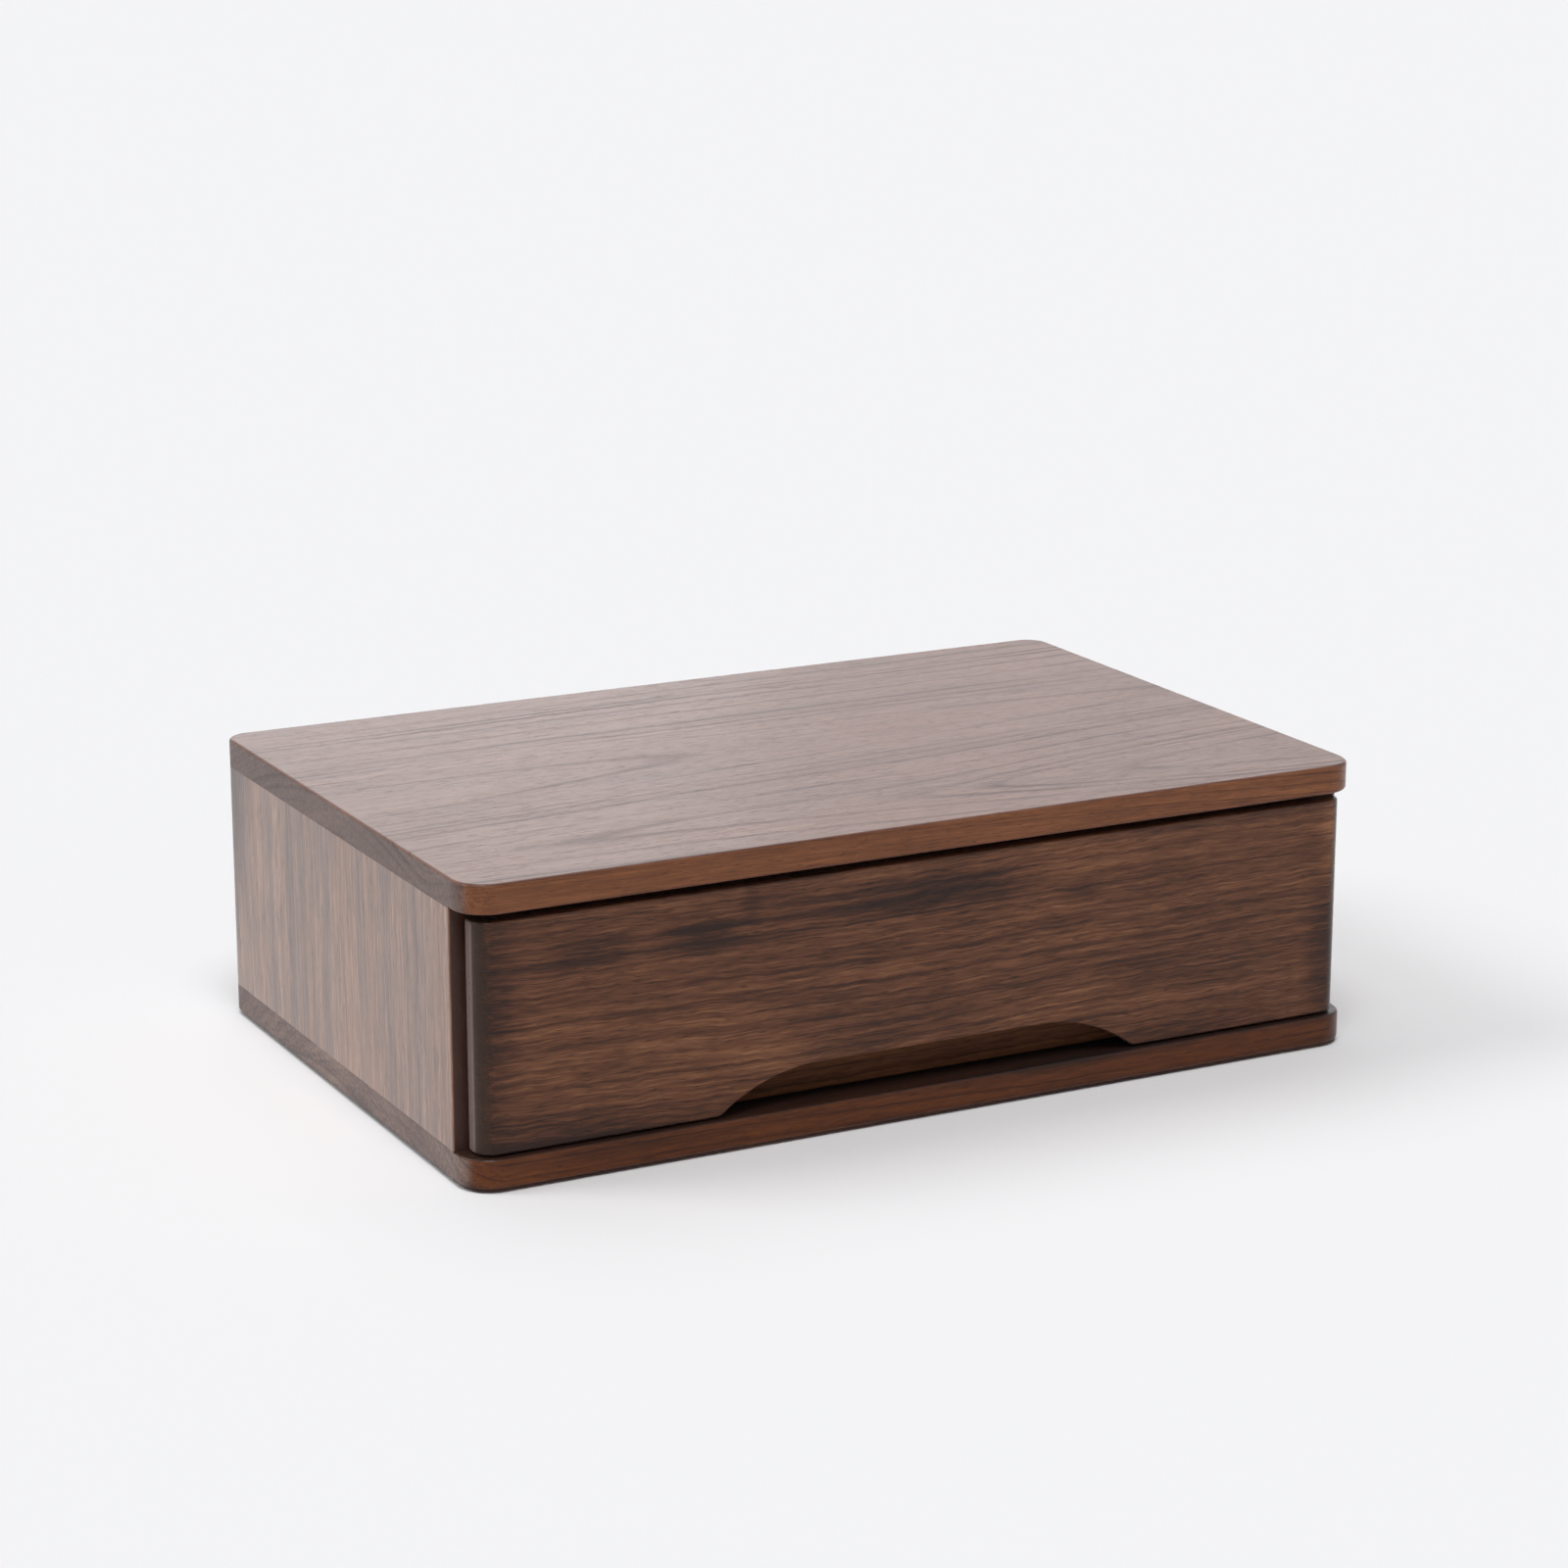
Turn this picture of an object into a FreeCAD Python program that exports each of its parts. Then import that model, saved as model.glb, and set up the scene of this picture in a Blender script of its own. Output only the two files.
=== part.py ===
import FreeCAD, Part
import math
import os

# A low desktop cabinet in solid walnut with one wide drawer.
# Millimetres, +Z up. The origin is at the centre of the footprint, on the surface it stands on.
# The drawer front faces -Y, and +X is to the right as seen from the front.

# Driving dimensions: the two boards and what stands between them
BOARD_WIDTH = 400.0
BOARD_DEPTH = 260.0
CARCASS_HEIGHT = 120.0
BOARD_THICKNESS = 12.0
FRONT_CORNER_RADIUS = 14.0
BACK_CORNER_RADIUS = 10.0
BOARD_EDGE_RADIUS = 1.3
SIDE_THICKNESS = 12.0
SIDE_SETBACK = 16.5
SIDE_EDGE_RADIUS = 1.0
BACK_THICKNESS = 8.0
BACK_SETBACK = 8.0
BACK_GROOVE_DEPTH = 4.0
PANEL_SLOT_CLEARANCE = 0.1

# Foot pads under the bottom board
PAD_THICKNESS = 1.5
PAD_RADIUS = 9.0
PAD_EDGE_RADIUS = 0.4
PAD_INSET = 26.0

# Dowels between the side panels and the boards
DOWEL_DIAMETER = 6.0
DOWEL_LENGTH = 28.0
DOWEL_DEPTH_IN_BOARD = 7.5
DOWEL_CHAMFER = 0.6
DOWEL_END_CLEARANCE = 0.3
TOP_DOWEL_COUNT = 4
BOTTOM_FIXING_COUNT = 5
FIXING_END_MARGIN = 30.0
ROUND_CLEARANCE = 0.05

# Countersunk screws from below, into the side panels
CARCASS_SCREW_SHANK = 4.0
CARCASS_SCREW_HEAD = 8.0
CARCASS_SCREW_LENGTH = 32.0

# Small countersunk screws for the runners and the stop rail
SMALL_SCREW_SHANK = 3.0
SMALL_SCREW_HEAD = 6.0
SMALL_SCREW_BITE = 8.0
SCREW_TIP_LENGTH = 2.5
SCREW_TIP_CLEARANCE = 0.3
DRIVE_SLOT_WIDTH = 0.9
DRIVE_SLOT_DEPTH = 1.3
DRIVE_SLOT_SHARE = 0.62

# Drawer front and its finger cut-out
FRONT_THICKNESS = 12.0
FRONT_RECESS = 2.5
FRONT_SIDE_INSET = 5.3
FRONT_TOP_GAP = 3.0
FRONT_BOTTOM_GAP = 0.8
FRONT_CORNER_ROUND = 7.5
FRONT_EDGE_RADIUS = 1.8
FRONT_REAR_RADIUS = 1.5
PULL_WIDTH = 188.0
PULL_TOP_WIDTH = 100.0
PULL_HEIGHT = 15.7
PULL_END_RADIUS = 4.0
PULL_EDGE_RADIUS = 0.8
PULL_GROOVE_DEPTH = 6.0
PULL_GROOVE_REACH = 9.0

# Drawer box behind the front
BOX_WALL = 10.0
BOX_SIDE_GAP = 1.0
BOX_FLOOR_GAP = 1.2
BOX_RAIL_GAP = 1.5
BOX_REAR_GAP = 3.0
BOX_EDGE_RADIUS = 0.8
FINGER_COUNT = 7
DRAWER_BOTTOM_THICKNESS = 5.0
DRAWER_BOTTOM_GROOVE_DEPTH = 4.0
DRAWER_BOTTOM_LIFT = 5.0
FRONT_SCREW_SHANK = 4.0
FRONT_SCREW_HEAD = 7.5
FRONT_SCREW_LENGTH = 18.0
FRONT_SCREW_SIDE_INSET = 40.0
FRONT_SCREW_END_INSET = 24.0
BUMPER_RADIUS = 2.2
BUMPER_SQUEEZE_GAP = 0.2
BUMPER_END_INSET = 14.0

# Hardwood runners on the side panels, in grooves of the drawer sides
RUNNER_HEIGHT = 10.0
RUNNER_THICKNESS = 5.5
RUNNER_TOP_CLEARANCE = 0.3
RUNNER_UNDER_CLEARANCE = 0.6
RUNNER_SIDE_CLEARANCE = 0.5
RUNNER_END_CLEARANCE = 2.0
RUNNER_EDGE_RADIUS = 0.6
RUNNER_SCREW_COUNT = 3
RUNNER_SCREW_MARGIN = 25.0

# Stop rail under the top board, and the stop button on the drawer back
STOP_RAIL_LENGTH = 80.0
STOP_RAIL_WIDTH = 12.0
STOP_RAIL_HEIGHT = 6.0
STOP_RAIL_SETBACK = 35.0
STOP_RAIL_SCREW_INSET = 14.0
BUTTON_LENGTH = 30.0
BUTTON_WIDTH = 12.0
BUTTON_THICKNESS = 5.0
BUTTON_RISE = 5.0
BUTTON_FACE_GAP = 0.2
BUTTON_SCREW_SHANK = 3.5
BUTTON_SCREW_HEAD = 8.0
BUTTON_SCREW_HEAD_HEIGHT = 2.2
BUTTON_SCREW_BITE = 8.0

# Planes and places that follow from them
HALF_WIDTH = BOARD_WIDTH / 2
BOARD_FRONT = -BOARD_DEPTH / 2
BOARD_BACK = BOARD_DEPTH / 2
BOTTOM_LOW = PAD_THICKNESS
BOTTOM_FACE = BOTTOM_LOW + BOARD_THICKNESS
TOP_HIGH = BOTTOM_LOW + CARCASS_HEIGHT
TOP_FACE = TOP_HIGH - BOARD_THICKNESS
SIDE_FRONT = BOARD_FRONT + SIDE_SETBACK
SIDE_INNER = HALF_WIDTH - SIDE_THICKNESS
SIDE_CENTRE = HALF_WIDTH - SIDE_THICKNESS / 2
BACK_REAR = BOARD_BACK - BACK_SETBACK
BACK_INNER = BACK_REAR - BACK_THICKNESS
FRONT_FACE = BOARD_FRONT + FRONT_RECESS
FRONT_REAR = FRONT_FACE + FRONT_THICKNESS
FRONT_HALF_WIDTH = HALF_WIDTH - FRONT_SIDE_INSET
FRONT_LOW = BOTTOM_FACE + FRONT_BOTTOM_GAP
FRONT_HIGH = TOP_FACE - FRONT_TOP_GAP
BOX_OUTER = SIDE_INNER - BOX_SIDE_GAP
BOX_INNER = BOX_OUTER - BOX_WALL
BOX_FRONT_INNER = FRONT_REAR + BOX_WALL
BOX_REAR = BACK_INNER - BOX_REAR_GAP
BOX_REAR_INNER = BOX_REAR - BOX_WALL
BOX_LOW = BOTTOM_FACE + BOX_FLOOR_GAP
BOX_HIGH = TOP_FACE - STOP_RAIL_HEIGHT - BOX_RAIL_GAP
BOX_MIDDLE = (BOX_LOW + BOX_HIGH) / 2
DRAWER_BOTTOM_LOW = BOX_LOW + DRAWER_BOTTOM_LIFT
RUNNER_LOW = BOX_MIDDLE - RUNNER_HEIGHT / 2
RUNNER_HIGH = BOX_MIDDLE + RUNNER_HEIGHT / 2
RUNNER_INNER = SIDE_INNER - RUNNER_THICKNESS
RUNNER_FRONT = BOX_FRONT_INNER + RUNNER_END_CLEARANCE
RUNNER_REAR = BACK_INNER - RUNNER_END_CLEARANCE
STOP_RAIL_FRONT = BOARD_FRONT + STOP_RAIL_SETBACK
STOP_RAIL_REAR = STOP_RAIL_FRONT + STOP_RAIL_WIDTH
BUTTON_REAR = BOX_REAR_INNER - BUTTON_FACE_GAP
BUTTON_FRONT = BUTTON_REAR - BUTTON_THICKNESS
BUTTON_CENTRE = BOX_HIGH + BUTTON_RISE - BUTTON_LENGTH / 2
RUNNER_SCREW_LENGTH = RUNNER_THICKNESS + SMALL_SCREW_BITE
STOP_RAIL_SCREW_LENGTH = STOP_RAIL_HEIGHT + SMALL_SCREW_BITE

# How far a cutting block runs past the face that it cuts, and how near two values count as one
CUT_MARGIN = 1.0
TOUCH = 0.001

UP = FreeCAD.Vector(0, 0, 1)
FORWARD = FreeCAD.Vector(0, -1, 0)
LEFT = -1
RIGHT = 1
SIDE_NAMES = {LEFT: "left", RIGHT: "right"}


def block(x_a, x_b, y_a, y_b, z_a, z_b):
    """A box between two corners, given in any order."""
    low = FreeCAD.Vector(min(x_a, x_b), min(y_a, y_b), min(z_a, z_b))
    return Part.makeBox(abs(x_b - x_a), abs(y_b - y_a), abs(z_b - z_a), low)


def spread(first, last, count):
    """Evenly spaced places from first to last, both included."""
    step = (last - first) / (count - 1)
    return [first + step * index for index in range(count)]


def flat_at(edge, axis, place):
    """Whether a whole edge lies in the plane where the axis has this value."""
    limits = edge.BoundBox
    low = getattr(limits, axis + "Min")
    high = getattr(limits, axis + "Max")
    return abs(low - place) < TOUCH and abs(high - place) < TOUCH


def upright(edge):
    """Whether an edge runs straight up."""
    limits = edge.BoundBox
    return limits.XLength < TOUCH and limits.YLength < TOUCH


def round_edges(shape, radius, chosen):
    """The shape with the edges that the test picks rounded over."""
    return shape.makeFillet(radius, [edge for edge in shape.Edges if chosen(edge)])


def one_solid(shape):
    """The single solid left after cuts and joins, with its coplanar faces merged."""
    return shape.removeSplitter().Solids[0]


def cut_all(shape, tools):
    """The shape with every tool cut from it."""
    return one_solid(shape.cut(list(tools)))


def carcass_outline(z_low, z_high):
    """A prism on the plan outline that both boards share: wider rounds at the front corners."""
    prism = block(-HALF_WIDTH, HALF_WIDTH, BOARD_FRONT, BOARD_BACK, z_low, z_high)
    prism = round_edges(prism, FRONT_CORNER_RADIUS, lambda e: upright(e) and flat_at(e, "Y", BOARD_FRONT))
    return round_edges(prism, BACK_CORNER_RADIUS, lambda e: upright(e) and flat_at(e, "Y", BOARD_BACK))


def board(z_low, z_high, outer, inner):
    """A board with its outer edge rounded all round, and its inner edge only where it stands proud.

    The inner edge is left square where the side panels meet it flush.
    """
    plate = round_edges(carcass_outline(z_low, z_high), BOARD_EDGE_RADIUS, lambda e: flat_at(e, "Z", outer))
    overhang = block(
        -HALF_WIDTH - CUT_MARGIN, HALF_WIDTH + CUT_MARGIN,
        BOARD_FRONT - CUT_MARGIN, SIDE_FRONT,
        z_low - CUT_MARGIN, z_high + CUT_MARGIN,
    )
    nose = plate.common(overhang)
    nose = round_edges(
        nose, BOARD_EDGE_RADIUS, lambda e: flat_at(e, "Z", inner) and not flat_at(e, "Y", SIDE_FRONT)
    )
    return one_solid(plate.cut(overhang).fuse(nose))


def back_slot():
    """The space that the back panel takes in the grooves around it."""
    reach = SIDE_INNER + BACK_GROOVE_DEPTH
    return block(
        -reach, reach,
        BACK_INNER - PANEL_SLOT_CLEARANCE, BACK_REAR + PANEL_SLOT_CLEARANCE,
        BOTTOM_FACE - BACK_GROOVE_DEPTH, TOP_FACE + BACK_GROOVE_DEPTH,
    )


def rod(radius, length, start, direction):
    """A plain cylinder from a start point along a direction."""
    return Part.makeCylinder(radius, length, start, direction)


def fixing_stations(count):
    """Places along the depth where a side panel is doweled or screwed to a board."""
    return spread(SIDE_FRONT + FIXING_END_MARGIN, BOARD_BACK - FIXING_END_MARGIN, count)


def top_dowel_places(side):
    """Where the top dowels of one side start, at their lower ends."""
    z_low = TOP_FACE + DOWEL_DEPTH_IN_BOARD - DOWEL_LENGTH
    stations = fixing_stations(TOP_DOWEL_COUNT)
    return [FreeCAD.Vector(side * SIDE_CENTRE, y, z_low) for y in stations]


def bottom_dowel_places(side):
    """Where the bottom dowels of one side start: every second station, between the screws."""
    z_low = BOTTOM_FACE - DOWEL_DEPTH_IN_BOARD
    stations = fixing_stations(BOTTOM_FIXING_COUNT)[1::2]
    return [FreeCAD.Vector(side * SIDE_CENTRE, y, z_low) for y in stations]


def carcass_screw_places(side):
    """Where the screws of one side have their heads, flush with the underside."""
    stations = fixing_stations(BOTTOM_FIXING_COUNT)[0::2]
    return [FreeCAD.Vector(side * SIDE_CENTRE, y, BOTTOM_LOW) for y in stations]


def dowel(start):
    """A wooden dowel pin with chamfered ends."""
    pin = rod(DOWEL_DIAMETER / 2, DOWEL_LENGTH, start, UP)
    ends = [edge for edge in pin.Edges if edge.BoundBox.ZLength < TOUCH]
    return pin.makeChamfer(DOWEL_CHAMFER, ends)


def dowel_hole(start):
    """The blind hole pair that a dowel fills, one solid through both pieces."""
    bottom = start - UP * DOWEL_END_CLEARANCE
    return rod(DOWEL_DIAMETER / 2 + ROUND_CLEARANCE, DOWEL_LENGTH + 2 * DOWEL_END_CLEARANCE, bottom, UP)


def turned(profile, place, direction):
    """A profile of (radius, height) points turned about its axis, then set on a place along a direction."""
    points = [FreeCAD.Vector(radius, 0, height) for radius, height in profile]
    face = Part.Face(Part.makePolygon(points + points[:1]))
    solid = face.revolve(FreeCAD.Vector(0, 0, 0), UP, 360)
    solid.Placement = FreeCAD.Placement(place, FreeCAD.Rotation(UP, direction))
    return solid


def countersunk_profile(shank, head, length, gap):
    """A countersunk screw's outline, head at height 0, grown all round by a gap."""
    shank_radius = shank / 2 + gap
    head_radius = head / 2 + gap
    neck = head_radius - shank_radius
    return [
        (0, 0),
        (head_radius, 0),
        (shank_radius, neck),
        (shank_radius, length - SCREW_TIP_LENGTH),
        (0, length + (SCREW_TIP_CLEARANCE if gap else 0)),
    ]


def drive_slots(head, place, direction):
    """The crossed slots that a driver turns, cut into a screw head."""
    reach = head * DRIVE_SLOT_SHARE / 2
    half = DRIVE_SLOT_WIDTH / 2
    along = block(-reach, reach, -half, half, -DRIVE_SLOT_DEPTH, DRIVE_SLOT_DEPTH)
    across = block(-half, half, -reach, reach, -DRIVE_SLOT_DEPTH, DRIVE_SLOT_DEPTH)
    cross = along.fuse(across)
    cross.Placement = FreeCAD.Placement(place, FreeCAD.Rotation(UP, direction))
    return cross


def countersunk_screw(shank, head, length, place, direction):
    """A countersunk wood screw with its head's face on the place."""
    body = turned(countersunk_profile(shank, head, length, 0), place, direction)
    return cut_all(body, [drive_slots(head, place, direction)])


def countersunk_hole(shank, head, length, place, direction):
    """The hole that such a screw fills, one solid through every piece that it joins."""
    return turned(countersunk_profile(shank, head, length, ROUND_CLEARANCE), place, direction)


def runner_screw_places(side):
    """Where the runner screws of one side have their heads, on the runner's inner face."""
    first = RUNNER_FRONT + RUNNER_SCREW_MARGIN
    last = RUNNER_REAR - RUNNER_SCREW_MARGIN
    stations = spread(first, last, RUNNER_SCREW_COUNT)
    return [FreeCAD.Vector(side * RUNNER_INNER, y, BOX_MIDDLE) for y in stations]


def stop_rail_screw_places():
    """Where the stop rail's screws have their heads, on its underside."""
    reach = STOP_RAIL_LENGTH / 2 - STOP_RAIL_SCREW_INSET
    y = (STOP_RAIL_FRONT + STOP_RAIL_REAR) / 2
    return [FreeCAD.Vector(x, y, TOP_FACE - STOP_RAIL_HEIGHT) for x in (-reach, reach)]


def front_screw_places():
    """Where the drawer front's fixing screws have their heads, inside the drawer."""
    x = BOX_INNER - FRONT_SCREW_SIDE_INSET
    heights = (BOX_LOW + FRONT_SCREW_END_INSET, BOX_HIGH - FRONT_SCREW_END_INSET)
    return [FreeCAD.Vector(side * x, BOX_FRONT_INNER, z) for side in (LEFT, RIGHT) for z in heights]


def runner_screw_args(side, place):
    """Size, place and direction of one runner screw: it points outwards, into the side panel."""
    return (SMALL_SCREW_SHANK, SMALL_SCREW_HEAD, RUNNER_SCREW_LENGTH, place, FreeCAD.Vector(side, 0, 0))


def stop_rail_screw_args(place):
    """Size, place and direction of one stop rail screw: it points up, into the top board."""
    return (SMALL_SCREW_SHANK, SMALL_SCREW_HEAD, STOP_RAIL_SCREW_LENGTH, place, UP)


def front_screw_args(place):
    """Size, place and direction of one fixing screw: it points forward, into the drawer front."""
    return (FRONT_SCREW_SHANK, FRONT_SCREW_HEAD, FRONT_SCREW_LENGTH, place, FORWARD)


def carcass_screw_args(place):
    """Size, place and direction of one carcass screw: it points up, into the side panel."""
    return (CARCASS_SCREW_SHANK, CARCASS_SCREW_HEAD, CARCASS_SCREW_LENGTH, place, UP)


def top_board():
    """The top board, grooved for the back panel and drilled from below."""
    plate = board(TOP_FACE, TOP_HIGH, TOP_HIGH, TOP_FACE)
    tools = [back_slot()]
    tools += [dowel_hole(place) for side in (LEFT, RIGHT) for place in top_dowel_places(side)]
    tools += [countersunk_hole(*stop_rail_screw_args(place)) for place in stop_rail_screw_places()]
    return cut_all(plate, tools)


def bottom_board():
    """The bottom board, grooved for the back panel, drilled for dowels and countersunk from below."""
    plate = board(BOTTOM_LOW, BOTTOM_FACE, BOTTOM_LOW, BOTTOM_FACE)
    tools = [back_slot()]
    for side in (LEFT, RIGHT):
        tools += [dowel_hole(place) for place in bottom_dowel_places(side)]
        tools += [countersunk_hole(*carcass_screw_args(place)) for place in carcass_screw_places(side)]
    return cut_all(plate, tools)


def side_panel(side):
    """A side panel between the boards, flush with their ends and with their rounded back corners."""
    stock = block(side * HALF_WIDTH, side * SIDE_INNER, SIDE_FRONT, BOARD_BACK, BOTTOM_FACE, TOP_FACE)
    panel = stock.common(carcass_outline(BOTTOM_FACE, TOP_FACE))
    panel = round_edges(panel, SIDE_EDGE_RADIUS, lambda e: upright(e) and flat_at(e, "Y", SIDE_FRONT))
    tools = [back_slot()]
    tools += [dowel_hole(place) for place in top_dowel_places(side) + bottom_dowel_places(side)]
    tools += [countersunk_hole(*carcass_screw_args(place)) for place in carcass_screw_places(side)]
    tools += [countersunk_hole(*runner_screw_args(side, place)) for place in runner_screw_places(side)]
    return cut_all(panel, tools)


def back_panel():
    """The back panel, held in grooves all round."""
    reach = SIDE_INNER + BACK_GROOVE_DEPTH - PANEL_SLOT_CLEARANCE
    rise = BACK_GROOVE_DEPTH - PANEL_SLOT_CLEARANCE
    return block(-reach, reach, BACK_INNER, BACK_REAR, BOTTOM_FACE - rise, TOP_FACE + rise)


def runner(side):
    """A hardwood strip screwed to a side panel, which carries the drawer."""
    strip = block(side * SIDE_INNER, side * RUNNER_INNER, RUNNER_FRONT, RUNNER_REAR, RUNNER_LOW, RUNNER_HIGH)
    strip = round_edges(strip, RUNNER_EDGE_RADIUS, lambda e: flat_at(e, "X", side * RUNNER_INNER))
    holes = [countersunk_hole(*runner_screw_args(side, place)) for place in runner_screw_places(side)]
    return cut_all(strip, holes)


def stop_rail():
    """A short rail under the top board, which the stop button meets when the drawer is fully open."""
    reach = STOP_RAIL_LENGTH / 2
    low = TOP_FACE - STOP_RAIL_HEIGHT
    rail = block(-reach, reach, STOP_RAIL_FRONT, STOP_RAIL_REAR, low, TOP_FACE)
    holes = [countersunk_hole(*stop_rail_screw_args(place)) for place in stop_rail_screw_places()]
    return cut_all(rail, holes)


def foot_pad(side, y):
    """A thin round pad stuck under the bottom board, with its lower edge rounded."""
    centre = FreeCAD.Vector(side * (HALF_WIDTH - PAD_INSET), y, 0)
    pad = rod(PAD_RADIUS, PAD_THICKNESS, centre, UP)
    return round_edges(pad, PAD_EDGE_RADIUS, lambda e: flat_at(e, "Z", 0))


def pull_prism(width, top_width, height, y_a, y_b):
    """The finger cut-out as a prism: a straight top that runs down into wide shoulder arcs."""
    half = width / 2
    half_top = top_width / 2
    run = half - half_top
    radius = (run * run + height * height) / (2 * height)
    turn = math.atan2(run, radius - height)
    top = FRONT_LOW + height
    centre_z = top - radius
    half_turn_x = half_top + radius * math.sin(turn / 2)
    half_turn_z = centre_z + radius * math.cos(turn / 2)
    below = FRONT_LOW - height

    def at(x, z):
        return FreeCAD.Vector(x, y_a, z)

    outline = Part.Wire([
        Part.LineSegment(at(-half_top, top), at(half_top, top)).toShape(),
        Part.Arc(at(half_top, top), at(half_turn_x, half_turn_z), at(half, FRONT_LOW)).toShape(),
        Part.LineSegment(at(half, FRONT_LOW), at(half, below)).toShape(),
        Part.LineSegment(at(half, below), at(-half, below)).toShape(),
        Part.LineSegment(at(-half, below), at(-half, FRONT_LOW)).toShape(),
        Part.Arc(at(-half, FRONT_LOW), at(-half_turn_x, half_turn_z), at(-half_top, top)).toShape(),
    ])
    return Part.Face(outline).extrude(FreeCAD.Vector(0, y_b - y_a, 0))


def upper_front_edge(edge):
    """Whether an edge belongs to the upper outline of the drawer front, less its rear edge."""
    return flat_at(edge, "Z", FRONT_HIGH) and not flat_at(edge, "Y", FRONT_REAR)


def lower_front_edge(edge):
    """Whether an edge belongs to the front face's lower outline, with the finger cut-out."""
    middle = edge.CenterOfMass
    on_face = flat_at(edge, "Y", FRONT_FACE) and not upright(edge)
    on_corner = flat_at(edge, "Z", FRONT_LOW) and not flat_at(edge, "Y", FRONT_REAR)
    runs_back = edge.BoundBox.XLength < TOUCH and abs(middle.x) < PULL_WIDTH
    return (on_face and middle.z < (FRONT_LOW + FRONT_HIGH) / 2) or (on_corner and not runs_back)


def pull_end(edge):
    """Whether an edge is one of the two sharp ends of the finger cut-out, through the board."""
    middle = edge.CenterOfMass
    runs_back = edge.BoundBox.XLength < TOUCH and edge.BoundBox.ZLength < TOUCH
    return runs_back and abs(middle.z - FRONT_LOW) < TOUCH and abs(abs(middle.x) - PULL_WIDTH / 2) < TOUCH


def drawer_front():
    """The drawer front: rounded front corners, an arched finger cut-out and a finger groove behind it."""
    slab = block(-FRONT_HALF_WIDTH, FRONT_HALF_WIDTH, FRONT_FACE, FRONT_REAR, FRONT_LOW, FRONT_HIGH)
    slab = round_edges(slab, FRONT_CORNER_ROUND, lambda e: upright(e) and flat_at(e, "Y", FRONT_FACE))
    slab = round_edges(slab, FRONT_REAR_RADIUS, lambda e: upright(e) and flat_at(e, "Y", FRONT_REAR))
    cut_out = pull_prism(
        PULL_WIDTH, PULL_TOP_WIDTH, PULL_HEIGHT,
        FRONT_FACE - CUT_MARGIN, FRONT_REAR + CUT_MARGIN,
    )
    slab = cut_all(slab, [cut_out])
    slab = round_edges(slab, PULL_END_RADIUS, pull_end)
    slab = round_edges(slab, FRONT_EDGE_RADIUS, upper_front_edge)
    slab = round_edges(slab, PULL_EDGE_RADIUS, lower_front_edge)
    groove = pull_prism(
        PULL_WIDTH + 2 * PULL_GROOVE_REACH, PULL_TOP_WIDTH + 2 * PULL_GROOVE_REACH,
        PULL_HEIGHT + PULL_GROOVE_REACH, FRONT_REAR - PULL_GROOVE_DEPTH, FRONT_REAR + CUT_MARGIN,
    )
    tools = [groove] + [countersunk_hole(*front_screw_args(place)) for place in front_screw_places()]
    return cut_all(slab, tools)


def fingers(side, front_end, odd):
    """Blocks for every second finger at one corner of the drawer box."""
    step = (BOX_HIGH - BOX_LOW) / FINGER_COUNT
    y_a, y_b = (FRONT_REAR, BOX_FRONT_INNER) if front_end else (BOX_REAR_INNER, BOX_REAR)
    start = 1 if odd else 0
    return [
        block(side * BOX_INNER, side * BOX_OUTER, y_a, y_b, BOX_LOW + step * n, BOX_LOW + step * (n + 1))
        for n in range(start, FINGER_COUNT, 2)
    ]


def runner_groove(side):
    """The groove along a drawer side that runs on the runner: open at the rear."""
    inner = RUNNER_INNER - RUNNER_SIDE_CLEARANCE
    return block(
        side * inner, side * (BOX_OUTER + CUT_MARGIN),
        BOX_FRONT_INNER, BOX_REAR + CUT_MARGIN,
        RUNNER_LOW - RUNNER_UNDER_CLEARANCE, RUNNER_HIGH + RUNNER_TOP_CLEARANCE,
    )


def drawer_bottom_slot():
    """The space that the drawer bottom takes in the grooves around it."""
    reach = DRAWER_BOTTOM_GROOVE_DEPTH
    return block(
        -BOX_INNER - reach, BOX_INNER + reach,
        BOX_FRONT_INNER - reach, BOX_REAR_INNER + reach,
        DRAWER_BOTTOM_LOW - PANEL_SLOT_CLEARANCE,
        DRAWER_BOTTOM_LOW + DRAWER_BOTTOM_THICKNESS + PANEL_SLOT_CLEARANCE,
    )


def soften_rim(wall):
    """The wall with the long upper edges of its rim rounded."""

    def long_rim(edge):
        limits = edge.BoundBox
        longer_than_wall = max(limits.XLength, limits.YLength) > BOX_WALL + TOUCH
        return flat_at(edge, "Z", BOX_HIGH) and longer_than_wall

    return round_edges(wall, BOX_EDGE_RADIUS, long_rim)


def drawer_side(side):
    """A drawer side with fingers at both ends and the runner groove in its outer face."""
    wall = block(side * BOX_INNER, side * BOX_OUTER, BOX_FRONT_INNER, BOX_REAR_INNER, BOX_LOW, BOX_HIGH)
    wall = soften_rim(wall)
    pieces = fingers(side, True, False) + fingers(side, False, False)
    wall = one_solid(wall.fuse(pieces))
    return cut_all(wall, [runner_groove(side), drawer_bottom_slot()])


def drawer_cross_wall(front_end):
    """The box front or the drawer back, with the fingers that fill the gaps of the sides' fingers."""
    y_a, y_b = (FRONT_REAR, BOX_FRONT_INNER) if front_end else (BOX_REAR_INNER, BOX_REAR)
    wall = soften_rim(block(-BOX_INNER, BOX_INNER, y_a, y_b, BOX_LOW, BOX_HIGH))
    pieces = fingers(LEFT, front_end, True) + fingers(RIGHT, front_end, True)
    return one_solid(wall.fuse(pieces))


def drawer_box_front():
    """The box front, which shows inside the finger cut-out, drilled for the fixing screws."""
    tools = [drawer_bottom_slot()]
    tools += [countersunk_hole(*front_screw_args(place)) for place in front_screw_places()]
    return cut_all(drawer_cross_wall(True), tools)


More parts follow.
